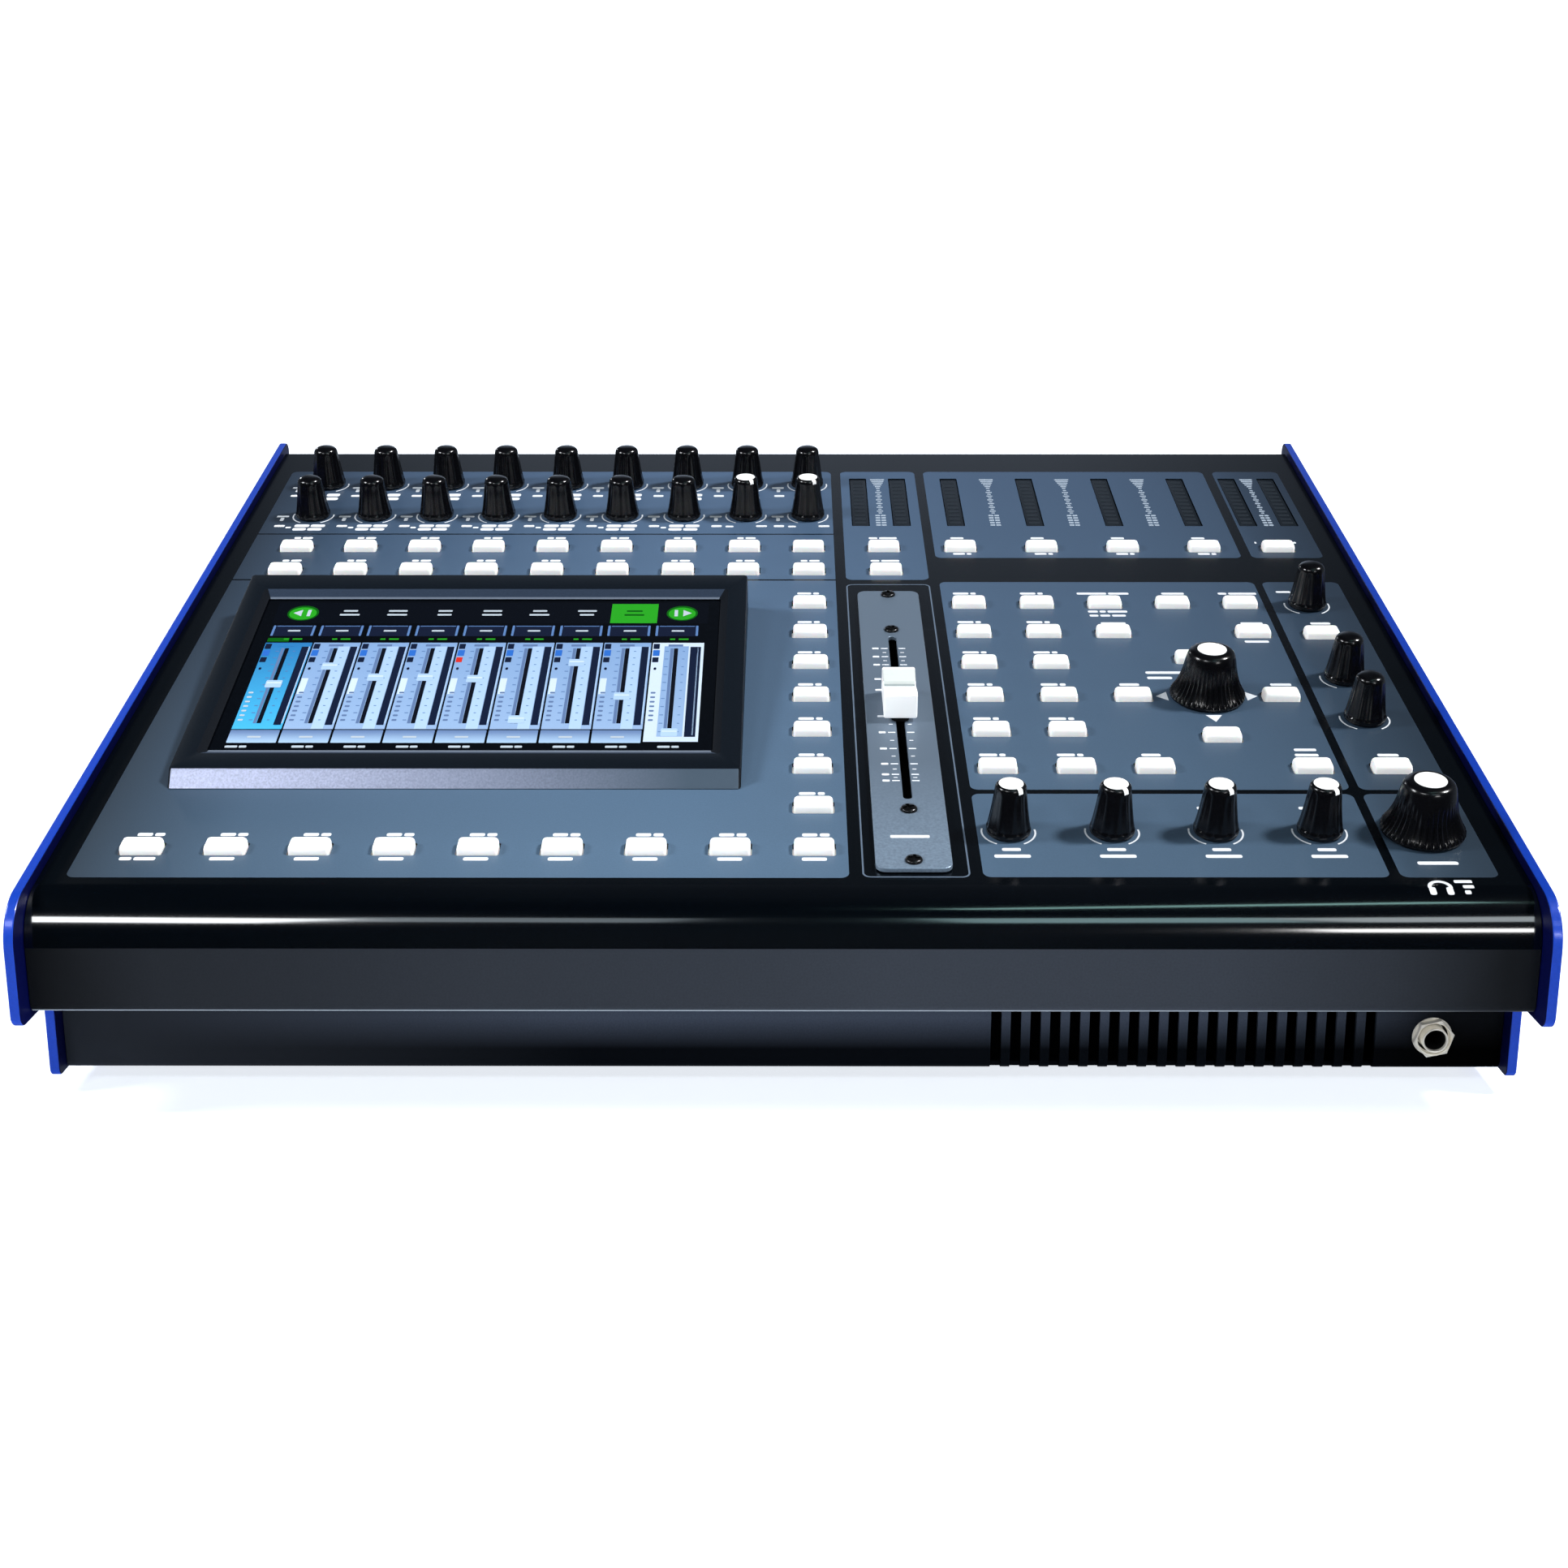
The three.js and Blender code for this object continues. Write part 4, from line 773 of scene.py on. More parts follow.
for name, (x, v) in SMALL_KNOBS.items():
    for start, end in ((165, 240), (300, 370)):
        marks.append(arc_band(x, v, 8.1, 0.55, start, end))
    if "aux" in name:
        words(x, v - 10.3, 5.6, height=1.7)
        words(x, v - 14.1, 10.8, height=1.8)
        if x > 90:
            words(x + 0.2, v + 14.4, 7.0, height=1.7)
    elif "gain" in name or "send" in name:
        low = 2.6 if "gain" in name else 0.0
        bar(x - 12.2, v - 0.6 - low, 4.9, 1.6)
        bar(x - 12.0, v - 3.6 - low, 1.5, 3.2)
        bar(x - 11.6, v - 10.6 - low * 0.6, 4.2, 2.0)
        plain = name[-1] in "89"
        if "gain" in name:
            if not plain:
                words(x + 3.8, v - 11.2, 5.4, height=3.0)
                words(x + 3.9, v - 15.4, 5.0, height=3.0)
        elif plain:
            bar(x - 6.4, v - 11.0, 3.2, 1.6)
            bar(x + 6.4, v - 10.6, 4.4, 1.8)
        else:
            bar(x - 7.8, v - 12.2, 2.2, 1.5)
            words(x + 0.5, v - 10.4, 5.9, 5.7, height=2.7, gap=0.6)
            words(x + 0.1, v - 14.0, 5.3, 5.7, height=2.6, gap=0.6)

for turn, reach, length, half in ((0, 13.3, 3.9, 3.2), (180, 13.3, 3.9, 3.2),
                                  (270, 13.9, 4.8, 2.7), (90, 13.9, 4.8, 2.7)):
    across = math.radians(turn)
    along = Vector((math.cos(across), math.sin(across)))
    sideways = Vector((-along.y, along.x)) * half
    middle = Vector((GRID[3], 100.6)) + along * reach
    marks.append([tuple(middle + along * length), tuple(middle + sideways),
                  tuple(middle - sideways)])
words(192.7, -7.6, 12.0, height=1.8)

SCALES = [(38.8, 1), (METERS[0] + 15.9, 1), (METERS[1] + 15.9, 1), (METERS[2] + 15.9, 1),
          (193.9, 0.9)]
scale_marks = []
for x, share in SCALES:
    rows = [(301.3 - 1.95 * k, width, 1.25) for k, width in
            enumerate((5.9, 5.2, 4.4, 3.4, 2.4, 1.5))]
    rows += [(288.9 - 2.05 * k, 2.5 if k % 2 else 1.4, 1.1) for k in range(13)]
    for v, width, height in rows:
        scale_marks.append(rounded_rect(x, v, width * share, height, 0.2, 2))
    for k in range(5):
        for offset in (-1.15, 1.15):
            scale_marks.append(rounded_rect(x + offset * share, 261.6 - k * 2.5, 1.9 * share,
                                            1.5, 0.2, 2))
piece("meter_scales", plate_mesh(scale_marks, INK_LOW, MARK_HIGH), [FINISH["faded"]])

flat_marks = plate_mesh(marks, INK_LOW, MARK_HIGH)
piece("deck_print_marks", flat_marks, [FINISH["white"]])

# The headphone sign lies where the deck starts to roll over into the nose.
NOSE_START = -19.6
NOSE_ROLL = 16.0


def on_deck(x, v, n):
    """A point n above the deck's skin; past the start of the nose it follows the round."""
    if v >= NOSE_START:
        return Vector((x, v, n))
    angle = (NOSE_START - v) / NOSE_ROLL
    reach = NOSE_ROLL + n
    return Vector((x, NOSE_START - reach * math.sin(angle), reach * math.cos(angle) - NOSE_ROLL))


SIGN_X, SIGN_V = 189.9, -20.8
sign_groups = [
    [arc_band(SIGN_X, SIGN_V, 3.0, 1.1, -5, 185), rounded_rect(197.2, -17.8, 5.2, 1.5, 0.3, 2),
     rounded_rect(197.4, -23.0, 1.7, 1.5, 0.3, 2)],
    [rounded_rect(SIGN_X - 2.5, SIGN_V - 1.6, 1.9, 3.2, 0.6, 3),
     rounded_rect(SIGN_X + 2.5, SIGN_V - 1.6, 1.9, 3.2, 0.6, 3),
     rounded_rect(198.1, -20.5, 3.2, 1.5, 0.4, 3)],
]
sign_mesh = merged([(plate_mesh(group, INK_LOW, MARK_HIGH - 0.01 * level), 0)
                    for level, group in enumerate(sign_groups)])
for vertex in sign_mesh.vertices:
    vertex.co = on_deck(*vertex.co)
piece("headphone_sign", sign_mesh, [FINISH["white"]])


# ---- keys --------------------------------------------------------------------------------
def key_cap(x, v):
    levels = [(-3.1, 0, 0.9), (1.3, 0.06, 0.95), (2.1, 0.22, 1.0), (2.55, 0.5, 1.05),
              (2.75, 0.9, 1.0), (2.8, 1.5, 0.8)]
    rings = []
    for height, inset, radius in levels:
        outline = rounded_rect(x, v, KEY_WIDTH - 2 * inset, KEY_DEPTH - 2 * inset, radius, 4)
        rings.append([(a, b, height) for a, b in outline])
    return loft_mesh(rings)


WEB_TOP = -2.9
WEB_HALF_X = 7.7
WEB_HALF_V = 4.9
for bank, places in KEY_BANKS.items():
    if bank == "keys_cursor_field":
        # This mat runs round the parameter knob, and two arms reach out to the last column.
        left, right, far = GRID[2] - WEB_HALF_X, GRID[4] + WEB_HALF_X, GRID[5] + WEB_HALF_X
        web_outline = [(left, 45.1), (far, 45.1), (far, 54.9), (right, 54.9), (right, 144.1),
                       (far, 144.1), (far, 154.9), (right, 154.9), (right, 179.9), (left, 179.9)]
        web_holes = [circle(GRID[3], 100, 15, 24)]
    else:
        xs, vs = [x for x, v in places], [v for x, v in places]
        web_outline = span(min(xs) - WEB_HALF_X, max(xs) + WEB_HALF_X,
                           min(vs) - WEB_HALF_V, max(vs) + WEB_HALF_V, 1)
        web_holes = []
    web = plate_mesh([web_outline], WEB_TOP - 1.2, WEB_TOP, 0, web_holes)
    caps = [(key_cap(x, v), 0) for x, v in places]
    piece(f"{bank}_mat", merged([(web, 0), *caps]), [FINISH["key"]], body=bank,
          replaces=[bank], smooth=50)

# ---- knobs -------------------------------------------------------------------------------
SMALL_SIDE = [
    (6.3, 0.5), (6.75, 0.7), (6.9, 1.1), (6.9, 2.1), (6.7, 2.5), (6.55, 3.2), (6.2, 5.0),
    (5.85, 7.2), (5.5, 9.6), (5.2, 12.0),
]
FLAT_CROWN = [
    (4.95, 14.2), (4.85, 15.0), (4.75, 15.7), (4.5, 16.3), (4.1, 16.7), (3.75, 16.85),
    (3.7, 16.8), (2.4, 16.92), (1.2, 17.0),
]
DOMED_CROWN = [
    (4.85, 14.0), (4.78, 14.8), (4.55, 15.5), (4.1, 16.1), (3.4, 16.55), (2.5, 16.8),
    (1.4, 16.95), (0.5, 17.0),
]
LARGE_PROFILE = [
    (11.9, 0.5), (12.5, 0.8), (12.7, 1.4), (12.6, 2.2), (12.1, 2.9), (11.6, 3.7), (10.9, 5.0),
    (10.2, 6.6), (9.6, 8.4), (9.15, 10.2), (8.8, 12.0), (8.5, 13.6), (8.3, 14.6), (8.1, 15.2),
    (7.95, 15.9), (7.5, 16.9), (6.9, 17.5), (6.0, 17.85), (5.1, 18.0), (4.9, 17.95),
    (3.0, 18.1), (1.5, 18.2),
]
SMALL_FLUTES = 10
LARGE_RIBS = 40


def between(height, low, fade_in, high, fade_out):
    """One from low + fade_in to high - fade_out, falling to zero at low and at high."""
    return (max(0.0, min(1.0, (height - low) / fade_in))
            * max(0.0, min(1.0, (high - height) / fade_out)))


def small_wave(angle, height):
    reach = between(height, 1.6, 1.4, 15.3, 1.6)
    scallop = 0.03 if 1.0 <= height <= 2.6 else 0.0
    return 1 - (reach * 0.05 + scallop) * (0.5 + 0.5 * math.cos(SMALL_FLUTES * angle))


def large_wave(angle, height):
    reach = between(height, 1.2, 1.2, 12.4, 3.0)
    return 1 - reach * 0.045 * (0.5 + 0.5 * math.cos(LARGE_RIBS * angle))


def knob_body(profile, steps, wave):
    shaft = turned_mesh([(3.0, -5.2), (3.0, 1.4)], 20)
    return merged([(turned_mesh(profile, steps, wave), 0), (shaft, 0)])


def disc(radius, rim, crown):
    """A slightly crowned printed disc on the crown of a knob."""
    return turned_mesh([(radius, rim - 0.12), (radius, rim + 0.05), (radius * 0.6, crown),
                        (radius * 0.25, crown + 0.06)], 32)


POINTER_ANGLE = math.radians(-57)


def pointer_tab(radius, top):
    """The short white line that runs from the disc down over the knob's edge."""
    half = 0.75
    stations = [(radius - 0.6, top), (radius + 0.35, top - 0.12), (radius + 0.85, top - 0.55),
                (radius + 1.12, top - 1.4)]
    rings = []
    for r, n in stations:
        rings.append([(r, -half, n - 0.25), (r + 0.1, -half, n + 0.07),
                      (r + 0.1, half, n + 0.07), (r, half, n - 0.25)])
    return moved(loft_mesh(rings), Matrix.Rotation(POINTER_ANGLE, 4, "Z"))


def knob_piece(name, x, v, parts):
    piece(f"{name}_cap", moved(merged(parts), shift(x, v)), [FINISH["knob"], FINISH["pointer"]],
          body=name, replaces=[name], smooth=28)


WHITE_TOPS = ("knob_aux", "knob_send_8", "knob_send_9")
for name, (x, v) in SMALL_KNOBS.items():
    printed = name.startswith(WHITE_TOPS)
    profile = SMALL_SIDE + (FLAT_CROWN if printed else DOMED_CROWN)
    parts = [(knob_body(profile, 120, small_wave), 0)]
    if printed:
        parts += [(disc(3.7, 16.85, 16.98), 1), (pointer_tab(3.7, 16.85), 1)]
    knob_piece(name, x, v, parts)
for name, (x, v) in LARGE_KNOBS.items():
    knob_piece(name, x, v, [(knob_body(LARGE_PROFILE, 240, large_wave), 0),
                            (disc(4.85, 18.05, 18.16), 1)])

# ---- meters ------------------------------------------------------------------------------
carrier = plate_mesh([span(23.4, 209.3, 247.6, 305.6)], -3.3, -1.8)
lens_parts = [(carrier, 0)]
for x in METER_WINDOWS:
    lens = rounded_rect(x, METER_V, 6.6, 51.4, 0.4)
    lens_parts.append((plate_mesh([lens], -2.3, -0.25, 0.15), 0))
    segments = [rounded_rect(x, 254.6 + 4.0 * k, 4.4, 2.2, 0.3, 2) for k in range(12)]
    lens_parts.append((plate_mesh(segments, -0.3, -0.2), 1))
piece("meter_lenses", merged(lens_parts), [FINISH["lens"], FINISH["segment"]],
      replaces=["meter_lens_bank"])

# ---- fader -------------------------------------------------------------------------------
FADER_CAP_V = 89
PLATE_TOP = 1.9
fader_slot = span(FADER_X - 1.4, FADER_X + 1.4, 27.4, 143.9, 1.35)
fader_plate = plate_mesh([span(FADER_X - 11.3, FADER_X + 11.3, -13.6, 183.3, 3.0)], 0.3,
                         PLATE_TOP, 0.35, [fader_slot], 3)
piece("fader_face_plate", fader_plate, [FINISH["plate"]], replaces=["fader_plate"],
      smooth=8)
ticks = []
SCALE_ROWS = (133.8, 127.2, 120.8, 109.7, 101.5, 82.2, 70.8, 59.7, 49.5, 42.6, 38.6)
for v, below in zip(SCALE_ROWS, (*SCALE_ROWS[1:], None)):
    for left in (-4.4, 1.8):
        ticks.append(span(FADER_X + left, FADER_X + left + 2.4, v - 0.35, v + 0.35, 0.1, steps=2))
        if below:
            middle = (v + below) / 2
            ticks.append(span(FADER_X + left + 0.5, FADER_X + left + 1.8, middle - 0.25,
                              middle + 0.25, 0.1, steps=2))
    ticks.append(rounded_rect(FADER_X - 6.3, v, 2.3, 1.3, 0.3, 2))
ticks.append(rounded_rect(FADER_X - 0.5, 4.4, 11.8, 1.7, 0.4, 2))
piece("fader_scale", plate_mesh(ticks, PLATE_TOP + INK_LOW, PLATE_TOP + INK_HIGH),
      [FINISH["white"]])
for number, v in enumerate((179.7, 149.3, 20.7, -9.2), 1):
    spin = Matrix.Rotation(0.5 + number, 4, "Z")
    head = moved(screw_mesh(2.6, 1.1), shift(FADER_X, v, PLATE_TOP) @ spin)
    piece(f"fader_plate_screw_{number}", head, [FINISH["screw"]])

CAP_HALF = 5.5
cap_side = filleted([
    (-11, 3.1, 0.8), (11, 3.1, 0.8), (10.4, 11.2, 0.7), (9.6, 12.0, 0.7), (8, 12.1, 1.5),
    (2.0, 10.5, 0.3), (1.4, 9.7, 0.2), (-1.2, 9.7, 0.2), (-1.8, 10.5, 0.3), (-8, 12.1, 1.5),
    (-9.6, 12.0, 0.7), (-10.4, 11.2, 0.7),
], 4)
CAP_FRAME = Matrix(((0, 0, 1, FADER_X), (1, 0, 0, FADER_CAP_V), (0, 1, 0, 0), (0, 0, 0, 1)))
cap = plate_mesh([cap_side], -CAP_HALF, CAP_HALF, 0.6, (), 3)
# Faces of the rear slope take the painted shade.
painted_shade_faces = [polygon.index for polygon in cap.polygons
           if 1.3 < polygon.center.x < 7.6 and polygon.normal.y > 0.5 and polygon.normal.x < -0.1]
cap = moved(cap, CAP_FRAME)
# A grey strip along the groove: the cap's grey line together with painted shade.
line = moved(box_mesh((-1.15, 1.35), (9.3, 9.78), (-5.1, 5.1)), CAP_FRAME)
tang = moved(box_mesh((-2.5, 2.5), (-8, 4.1), (-0.8, 0.8)), CAP_FRAME)
stem = moved(plate_mesh([rounded_rect(0, 0, 5.8, 14, 2.0, 4)], 2.0, 3.2), shift(FADER_X, 85.3))
cap_parts = merged([(cap, 0), (line, 1), (tang, 2), (stem, 2)])
for index in painted_shade_faces:
    cap_parts.polygons[index].material_index = 3
piece("fader_cap_moulding", cap_parts,
      [FINISH[key] for key in ("cap", "groove", "slot", "hollow")], body="fader_cap",
      replaces=["fader_cap"], smooth=30)

# ---- screen ------------------------------------------------------------------------------
BEZEL_HALF = 89.7
# The lower edge of the bezel lies 0.3 above the deck, from v 36.2 to v 172.5.
TO_SCREEN = Matrix.Rotation(-SCREEN_TILT, 4, "X")
foot_front, foot_back = (TO_SCREEN @ Vector((0, v - SCREEN_V, 0.3 - SCREEN_LIFT))
                         for v in (36.2, 172.5))
TOP_BACK = 125.48


def bezel_ring(half, front, back, radius):
    """front and back are (distance up the tilted face, height above it)."""
    ring = []
    for a, b in span(-half, half, 0, back[0] - front[0], radius, steps=4):
        share = b / (back[0] - front[0])
        ring.append((a, front[0] + b, front[1] + (back[1] - front[1]) * share))
    return ring


rings = [
    bezel_ring(BEZEL_HALF, (foot_front.y, foot_front.z), (foot_back.y, foot_back.z), 1.2),
    bezel_ring(BEZEL_HALF, (-0.35, -0.5), (TOP_BACK + 0.3, -0.6), 1.2),
    bezel_ring(BEZEL_HALF - 0.25, (-0.1, -0.12), (TOP_BACK, -0.12), 1.1),
    bezel_ring(BEZEL_HALF - 0.7, (0.45, 0), (TOP_BACK - 0.5, 0), 1.0),
    bezel_ring(83.0, (8.4, 0), (114.9, 0), 1.2),
    bezel_ring(80.9, (10.0, -0.6), (110.3, -0.75), 0.8),
    bezel_ring(80.4, (11.5, -0.95), (109.2, -0.95), 0.6),
    bezel_ring(81.5, (10.0, -1.2), (113.0, -1.2), 0.5),
    bezel_ring(81.5, (10.0, -3.6), (113.0, -3.6), 0.5),
    bezel_ring(87.2, (4.2, -3.7), (121.0, -3.7), 0.8),
    bezel_ring(87.4, (foot_front.y + 4, foot_front.z), (foot_back.y - 3, foot_back.z), 0.8),
]
bezel = loft_mesh(rings, hollow=True)
for polygon in bezel.polygons:
    level = polygon.vertices[0] // len(rings[0])
    is_front = polygon.center.y < 0.6 and abs(polygon.center.x) < BEZEL_HALF - 0.8
    polygon.material_index = 1 if level < 2 and is_front else 2 if 4 <= level < 9 else 0
    # On the front and back, the inner slope and rim take their painted light and painted highlight.
    if level in (4, 5) and abs(polygon.center.x) < 80:
        polygon.material_index = level - 1
piece("screen_bezel_frame", bezel,
      [FINISH[key] for key in ("bezel", "lip", "well", "chamfer", "rim")], SCREEN,
      replaces=["screen_bezel"], smooth=32)
GLASS_TOP = -1.4
glass = plate_mesh([span(-81.2, 81.2, 10.3, 112.7, 0.6)], GLASS_TOP - 2, GLASS_TOP, 0.2)
piece("touch_glass_sheet", glass, [FINISH["glass"]], SCREEN, replaces=["touch_glass"])

layers = {key: [] for key in PICTURE}


def patch(colour, x0, x1, y0, y1, level=1, radius=0.0):
    """x0 and x1 are measured on the panel, y0 and y1 up the tilted screen."""
    outline = span(x0 - SCREEN_X, x1 - SCREEN_X, y0, y1, radius, steps=3)
    layers[colour].append((level, outline))


def label(x, y, width, height=1.1, colour="text", level=4):
    patch(colour, x - width / 2, x + width / 2, y - height / 2, y + height / 2, level, height * 0.3)


def words_on_screen(x, y, *widths, height=1.2, gap=0.5):
    left = x - (sum(widths) + gap * (len(widths) - 1)) / 2
    for width in widths:
        label(left + width / 2, y, width, height)
        left += width + gap


STRIP_LEFT = -178.4
STRIP_PITCH = 16.68
CAP_SHARES = (0.49, 0.25, 0.40, 0.40, 0.42, 0.95, 0.20, 0.65, 0.97)
patch("header", -179, -26.6, 92.6, 107.4, 1)
for i, share in enumerate(CAP_SHARES):
    x0 = STRIP_LEFT + i * STRIP_PITCH
    last = i == 8
    body_low = 17.2 if last else 24.6
    patch("navy", x0 + 0.4, x0 + 15.4, 83.9, 91.3, 1, 0.5)
    patch("edge", x0 + 0.5, x0 + 1.3, 84.1, 91.1, 2, 0.3)
    patch("edge", x0 + 14.4, x0 + 15.2, 84.1, 91.1, 2, 0.3)
    patch("edge", x0 + 1.7, x0 + 14.0, 90.5, 90.9, 2)
    label(x0 + 8.2, 87.4, 4.4, 1.0)
    label(x0 + 6.6, 81.7, 1.8, 0.9, "green")
    label(x0 + 10.4, 81.7, 3.4, 0.9, "green")
    if i == 0:
        patch("dark_green", x0 + 0.2, x0 + 7.6, 80.2, 82.6, 1)
    strip = "cyan" if i == 0 else "pale"
    patch("paper" if last else strip, x0, x0 + (17.6 if last else 16.1), body_low, 79.4, 1)
    if last:
        patch(strip, x0 + 4.1, x0 + 12.4, 20.2, 77.0, 2)
    elif i:
        patch("paper", x0 + 0.2, x0 + 2.4, 46.0, 56.0, 2)
        patch("bright", x0 + 8.9, x0 + 12.8, body_low, 76.8, 2)
    patch("shade" if i else "cyan", x0 + 5.4, x0 + 10.4, 76.9, 78.2, 3)
    low, high = (21.0 if last else 28.0), 75.6
    patch("shade", x0 + 6.2, x0 + 7.2, low, high, 3)
    patch("black", x0 + 7.4, x0 + 8.8, low, high, 3, 0.3)
    for k in range(11):
        y = low + 2 + k * (high - low - 4) / 10
        patch("edge", x0 + 4.5, x0 + 5.7, y - 0.2, y + 0.2, 3)
        patch("edge", x0 + 10.4, x0 + 11.2, y - 0.2, y + 0.2, 3)
    y = high - share * (high - low)
    patch("bright", x0 + 5.4, x0 + 10.8, y - 2.3, y + 2.3, 4, 0.5)
    patch("paper", x0 + 5.6, x0 + 10.6, y + 0.2, y + 1.0, 5, 0.3)
    patch("meter", x0 + 13.0, x0 + (16.6 if last else 15.4), low - 1, 76.6, 3)
    patch("bright", x0 + 15.4, x0 + 15.8, low, 76.6, 3)
    patch("meter", x0 + 0.3, x0 + 2.4, 75.2, 78.6, 3, 0.2)
    patch("icon", x0 + 0.3, x0 + 2.6, 70.6, 74.4, 3, 0.2)
    patch("red" if i == 4 else "meter", x0 + 0.3, x0 + 2.4, 66.4, 69.6, 3, 0.2)
    label(x0 + 1.5, 62.2, 0.9, 1.6, "meter", 3)
    for k in range(7):
        label(x0 + 1.7, 30.0 + k * 2.8, 1.6, 1.0, "text" if i == 0 else "shade", 3)
    if not last:
        patch("button", x0, x0 + 15.9, 16.5, 24.0, 1, 0.3)
        label(x0 + 8.3, 19.8, 4.4, 1.0)
    words_on_screen(x0 + (3.6 if i == 0 else 8.2), 14.1, 4.0, 2.4)
for k in range(6):
    x = -69.3 - 16.7 * k
    label(x, 101.3, 5.0 if k % 2 else 6.6, 1.1)
    label(x, 98.6, 7.0 if k % 3 else 5.0, 1.1)
patch("green", -60.8, -44.4, 92.9, 106.4, 2)
label(-52.6, 101.3, 5.6, 1.1, "dark_green", 3)
label(-52.6, 98.6, 7.0, 1.1, "dark_green", 3)
for x, way in ((-169.4, -1), (-35.8, 1)):
    centre = x - SCREEN_X
    layers["dark_green"].append((2, circle(centre, 99.8, 5.5, 28, tall=5.2)))
    layers["green"].append((3, circle(centre, 99.5, 4.8, 28, tall=4.3)))
    layers["text"].append((4, [(centre + way * 3.4, 99.8), (centre + way * 0.4, 102.0),
                               (centre + way * 0.4, 97.6)]))
    layers["text"].append((4, span(centre - way * 2.1 - 0.6, centre - way * 2.1 + 0.6,
                                   97.6, 102.0)))
LAYER = 0.035
for colour, patches in layers.items():
    sheets = []
    for level in sorted({level for level, outline in patches}):
        outlines = [outline for at, outline in patches if at == level]
        low = GLASS_TOP + 0.01 + LAYER * (level - 1)
        sheets.append((plate_mesh(outlines, low, low + LAYER * 0.8), 0))
    piece(f"screen_picture_{colour}", merged(sheets), [PICTURE[colour]], SCREEN)

# ---- lower case with its vents -----------------------------------------------------------
tray_outline = filleted([
    (-6, -34), (-6, -67.5, 2.5), (319.2, -67.5), (319.2, -66), (-4.5, -66, 1), (-4.5, -34),
], 8)
tray = plate_mesh([tray_outline], -INNER_HALF, INNER_HALF)
JACK = (195.6, 16.8)
VENTS = [64.3 + 5.93 * k for k in range(20)]
vent_cuts = [box_mesh((-9, -3), (-70, -46), (x - 1.6, x + 1.6)) for x in VENTS]
tray = carved(moved(tray, SIDE), [moved(cut, SIDE) for cut in vent_cuts] + [
    moved(plate_mesh([circle(*JACK, 4.8)], -4, 4), FRONT)])
piece("lower_case", tray, [FINISH["tray"]], Matrix.Identity(4), replaces=["bottom_tray"])

# ---- headphone socket --------------------------------------------------------------------
nut_hex = circle(*JACK, 6.2, 6, math.radians(12))
washer = plate_mesh([circle(*JACK, 6.0, 48)], 0.02, 0.3, 0.08, [circle(*JACK, 4.75, 32)])
nut = plate_mesh([nut_hex], 0.3, 2.7, 0.35, [circle(*JACK, 4.95, 32)], 3)
piece("headphone_hex_nut", merged([(washer, 0), (nut, 0)]), [FINISH["nickel_painted_light"]], FRONT,
      replaces=["headphone_nut"])
SLEEVE = [(3.9, -2.8), (3.9, 3.6), (3.8, 3.9), (3.6, 4.0), (3.4, 3.9), (3.28, 3.5),
          (3.25, 3.0), (3.25, -26), (4.2, -26), (4.2, -2.8)]
sleeve = moved(tube_mesh(SLEEVE), shift(*JACK))
housing = carved(
    plate_mesh([rounded_rect(*JACK, 13, 13, 1, 3)], -31.8, -1.8, 0.3),
    [plate_mesh([circle(*JACK, 4.3, 32)], -28, 0)])
contact = moved(turned_mesh([(1.6, -27), (1.6, -14), (1.2, -12.6), (0.5, -12)], 20), shift(*JACK))
socket = merged([(sleeve, 0), (housing, 1), (contact, 2)])
for polygon in socket.polygons:
    off_axis = math.hypot(polygon.center.x - JACK[0], polygon.center.y - JACK[1])
    if polygon.material_index == 0 and off_axis < 3.4 and polygon.center.z < 2.9:
        polygon.material_index = 1
piece("headphone_socket_body", socket,
      [FINISH["nickel_painted_light"], FINISH["moulded"], FINISH["nickel"]], FRONT,
      replaces=["headphone_jack"])

# ---- back of the case --------------------------------------------------------------------
SOCKET_XS = [-196 + 27 * k for k in range(10)]
LINE_XS = SOCKET_XS[:6]
SOCKET_Z = 96
LINE_Z = 56
INLET = (186, 34)
ROCKER = (150, 34)
rear_top = PANEL_Z + rise(319.5, -SHEET) - 0.3
rear_holes = [circle(-x, SOCKET_Z, 11.2, 40) for x in SOCKET_XS]
rear_holes += [circle(-x, LINE_Z, 4.6, 24) for x in LINE_XS]
rear_holes += [rounded_rect(-INLET[0], INLET[1], 27.6, 20.6, 1.5),
               rounded_rect(-ROCKER[0], ROCKER[1], 16, 22, 1.0)]
rear = plate_mesh([span(-INNER_HALF, INNER_HALF, 6, rear_top)], -SHEET, 0, 0, rear_holes)
piece("rear_plate", rear, [FINISH["rear"]], BACK, replaces=["rear_panel"])

socket_parts = []
BLOCK_BACK = -1.8
block = plate_mesh([[(209.5, 46), (209.5, 110), (-60.5, 110), (-60.5, 82), (47.5, 82),
                     (47.5, 46)]], BLOCK_BACK - 20, BLOCK_BACK, 0,
                   [circle(-x, SOCKET_Z, 10.6, 40) for x in SOCKET_XS]
                   + [circle(-x, LINE_Z, 4, 24) for x in LINE_XS])
socket_parts.append((block, 0))
for x in SOCKET_XS:
    at = shift(-x, SOCKET_Z)
    collar = tube_mesh([(10.6, -3), (10.6, 0.7), (10.2, 1.1), (9.5, 1.0), (9.2, 0.5), (9.2, -3)],
                       56)
    socket_parts.append((moved(collar, at), 0))
    face = plate_mesh([circle(0, 0, 9.1, 40)], -9, -5.4, 0.3,
                      [circle(px, py, 1.5, 16) for px, py in ((-4.4, 0.6), (4.4, 0.6), (0, -4.2))]
                      + [circle(0, 0.8, 2.6, 24)])
    socket_parts.append((moved(face, at), 0))
    latch = plate_mesh([rounded_rect(0, 8.6, 4.2, 2.6, 0.6, 3)], -1.0, 1.3, 0.3)
    socket_parts.append((moved(latch, at), 1))
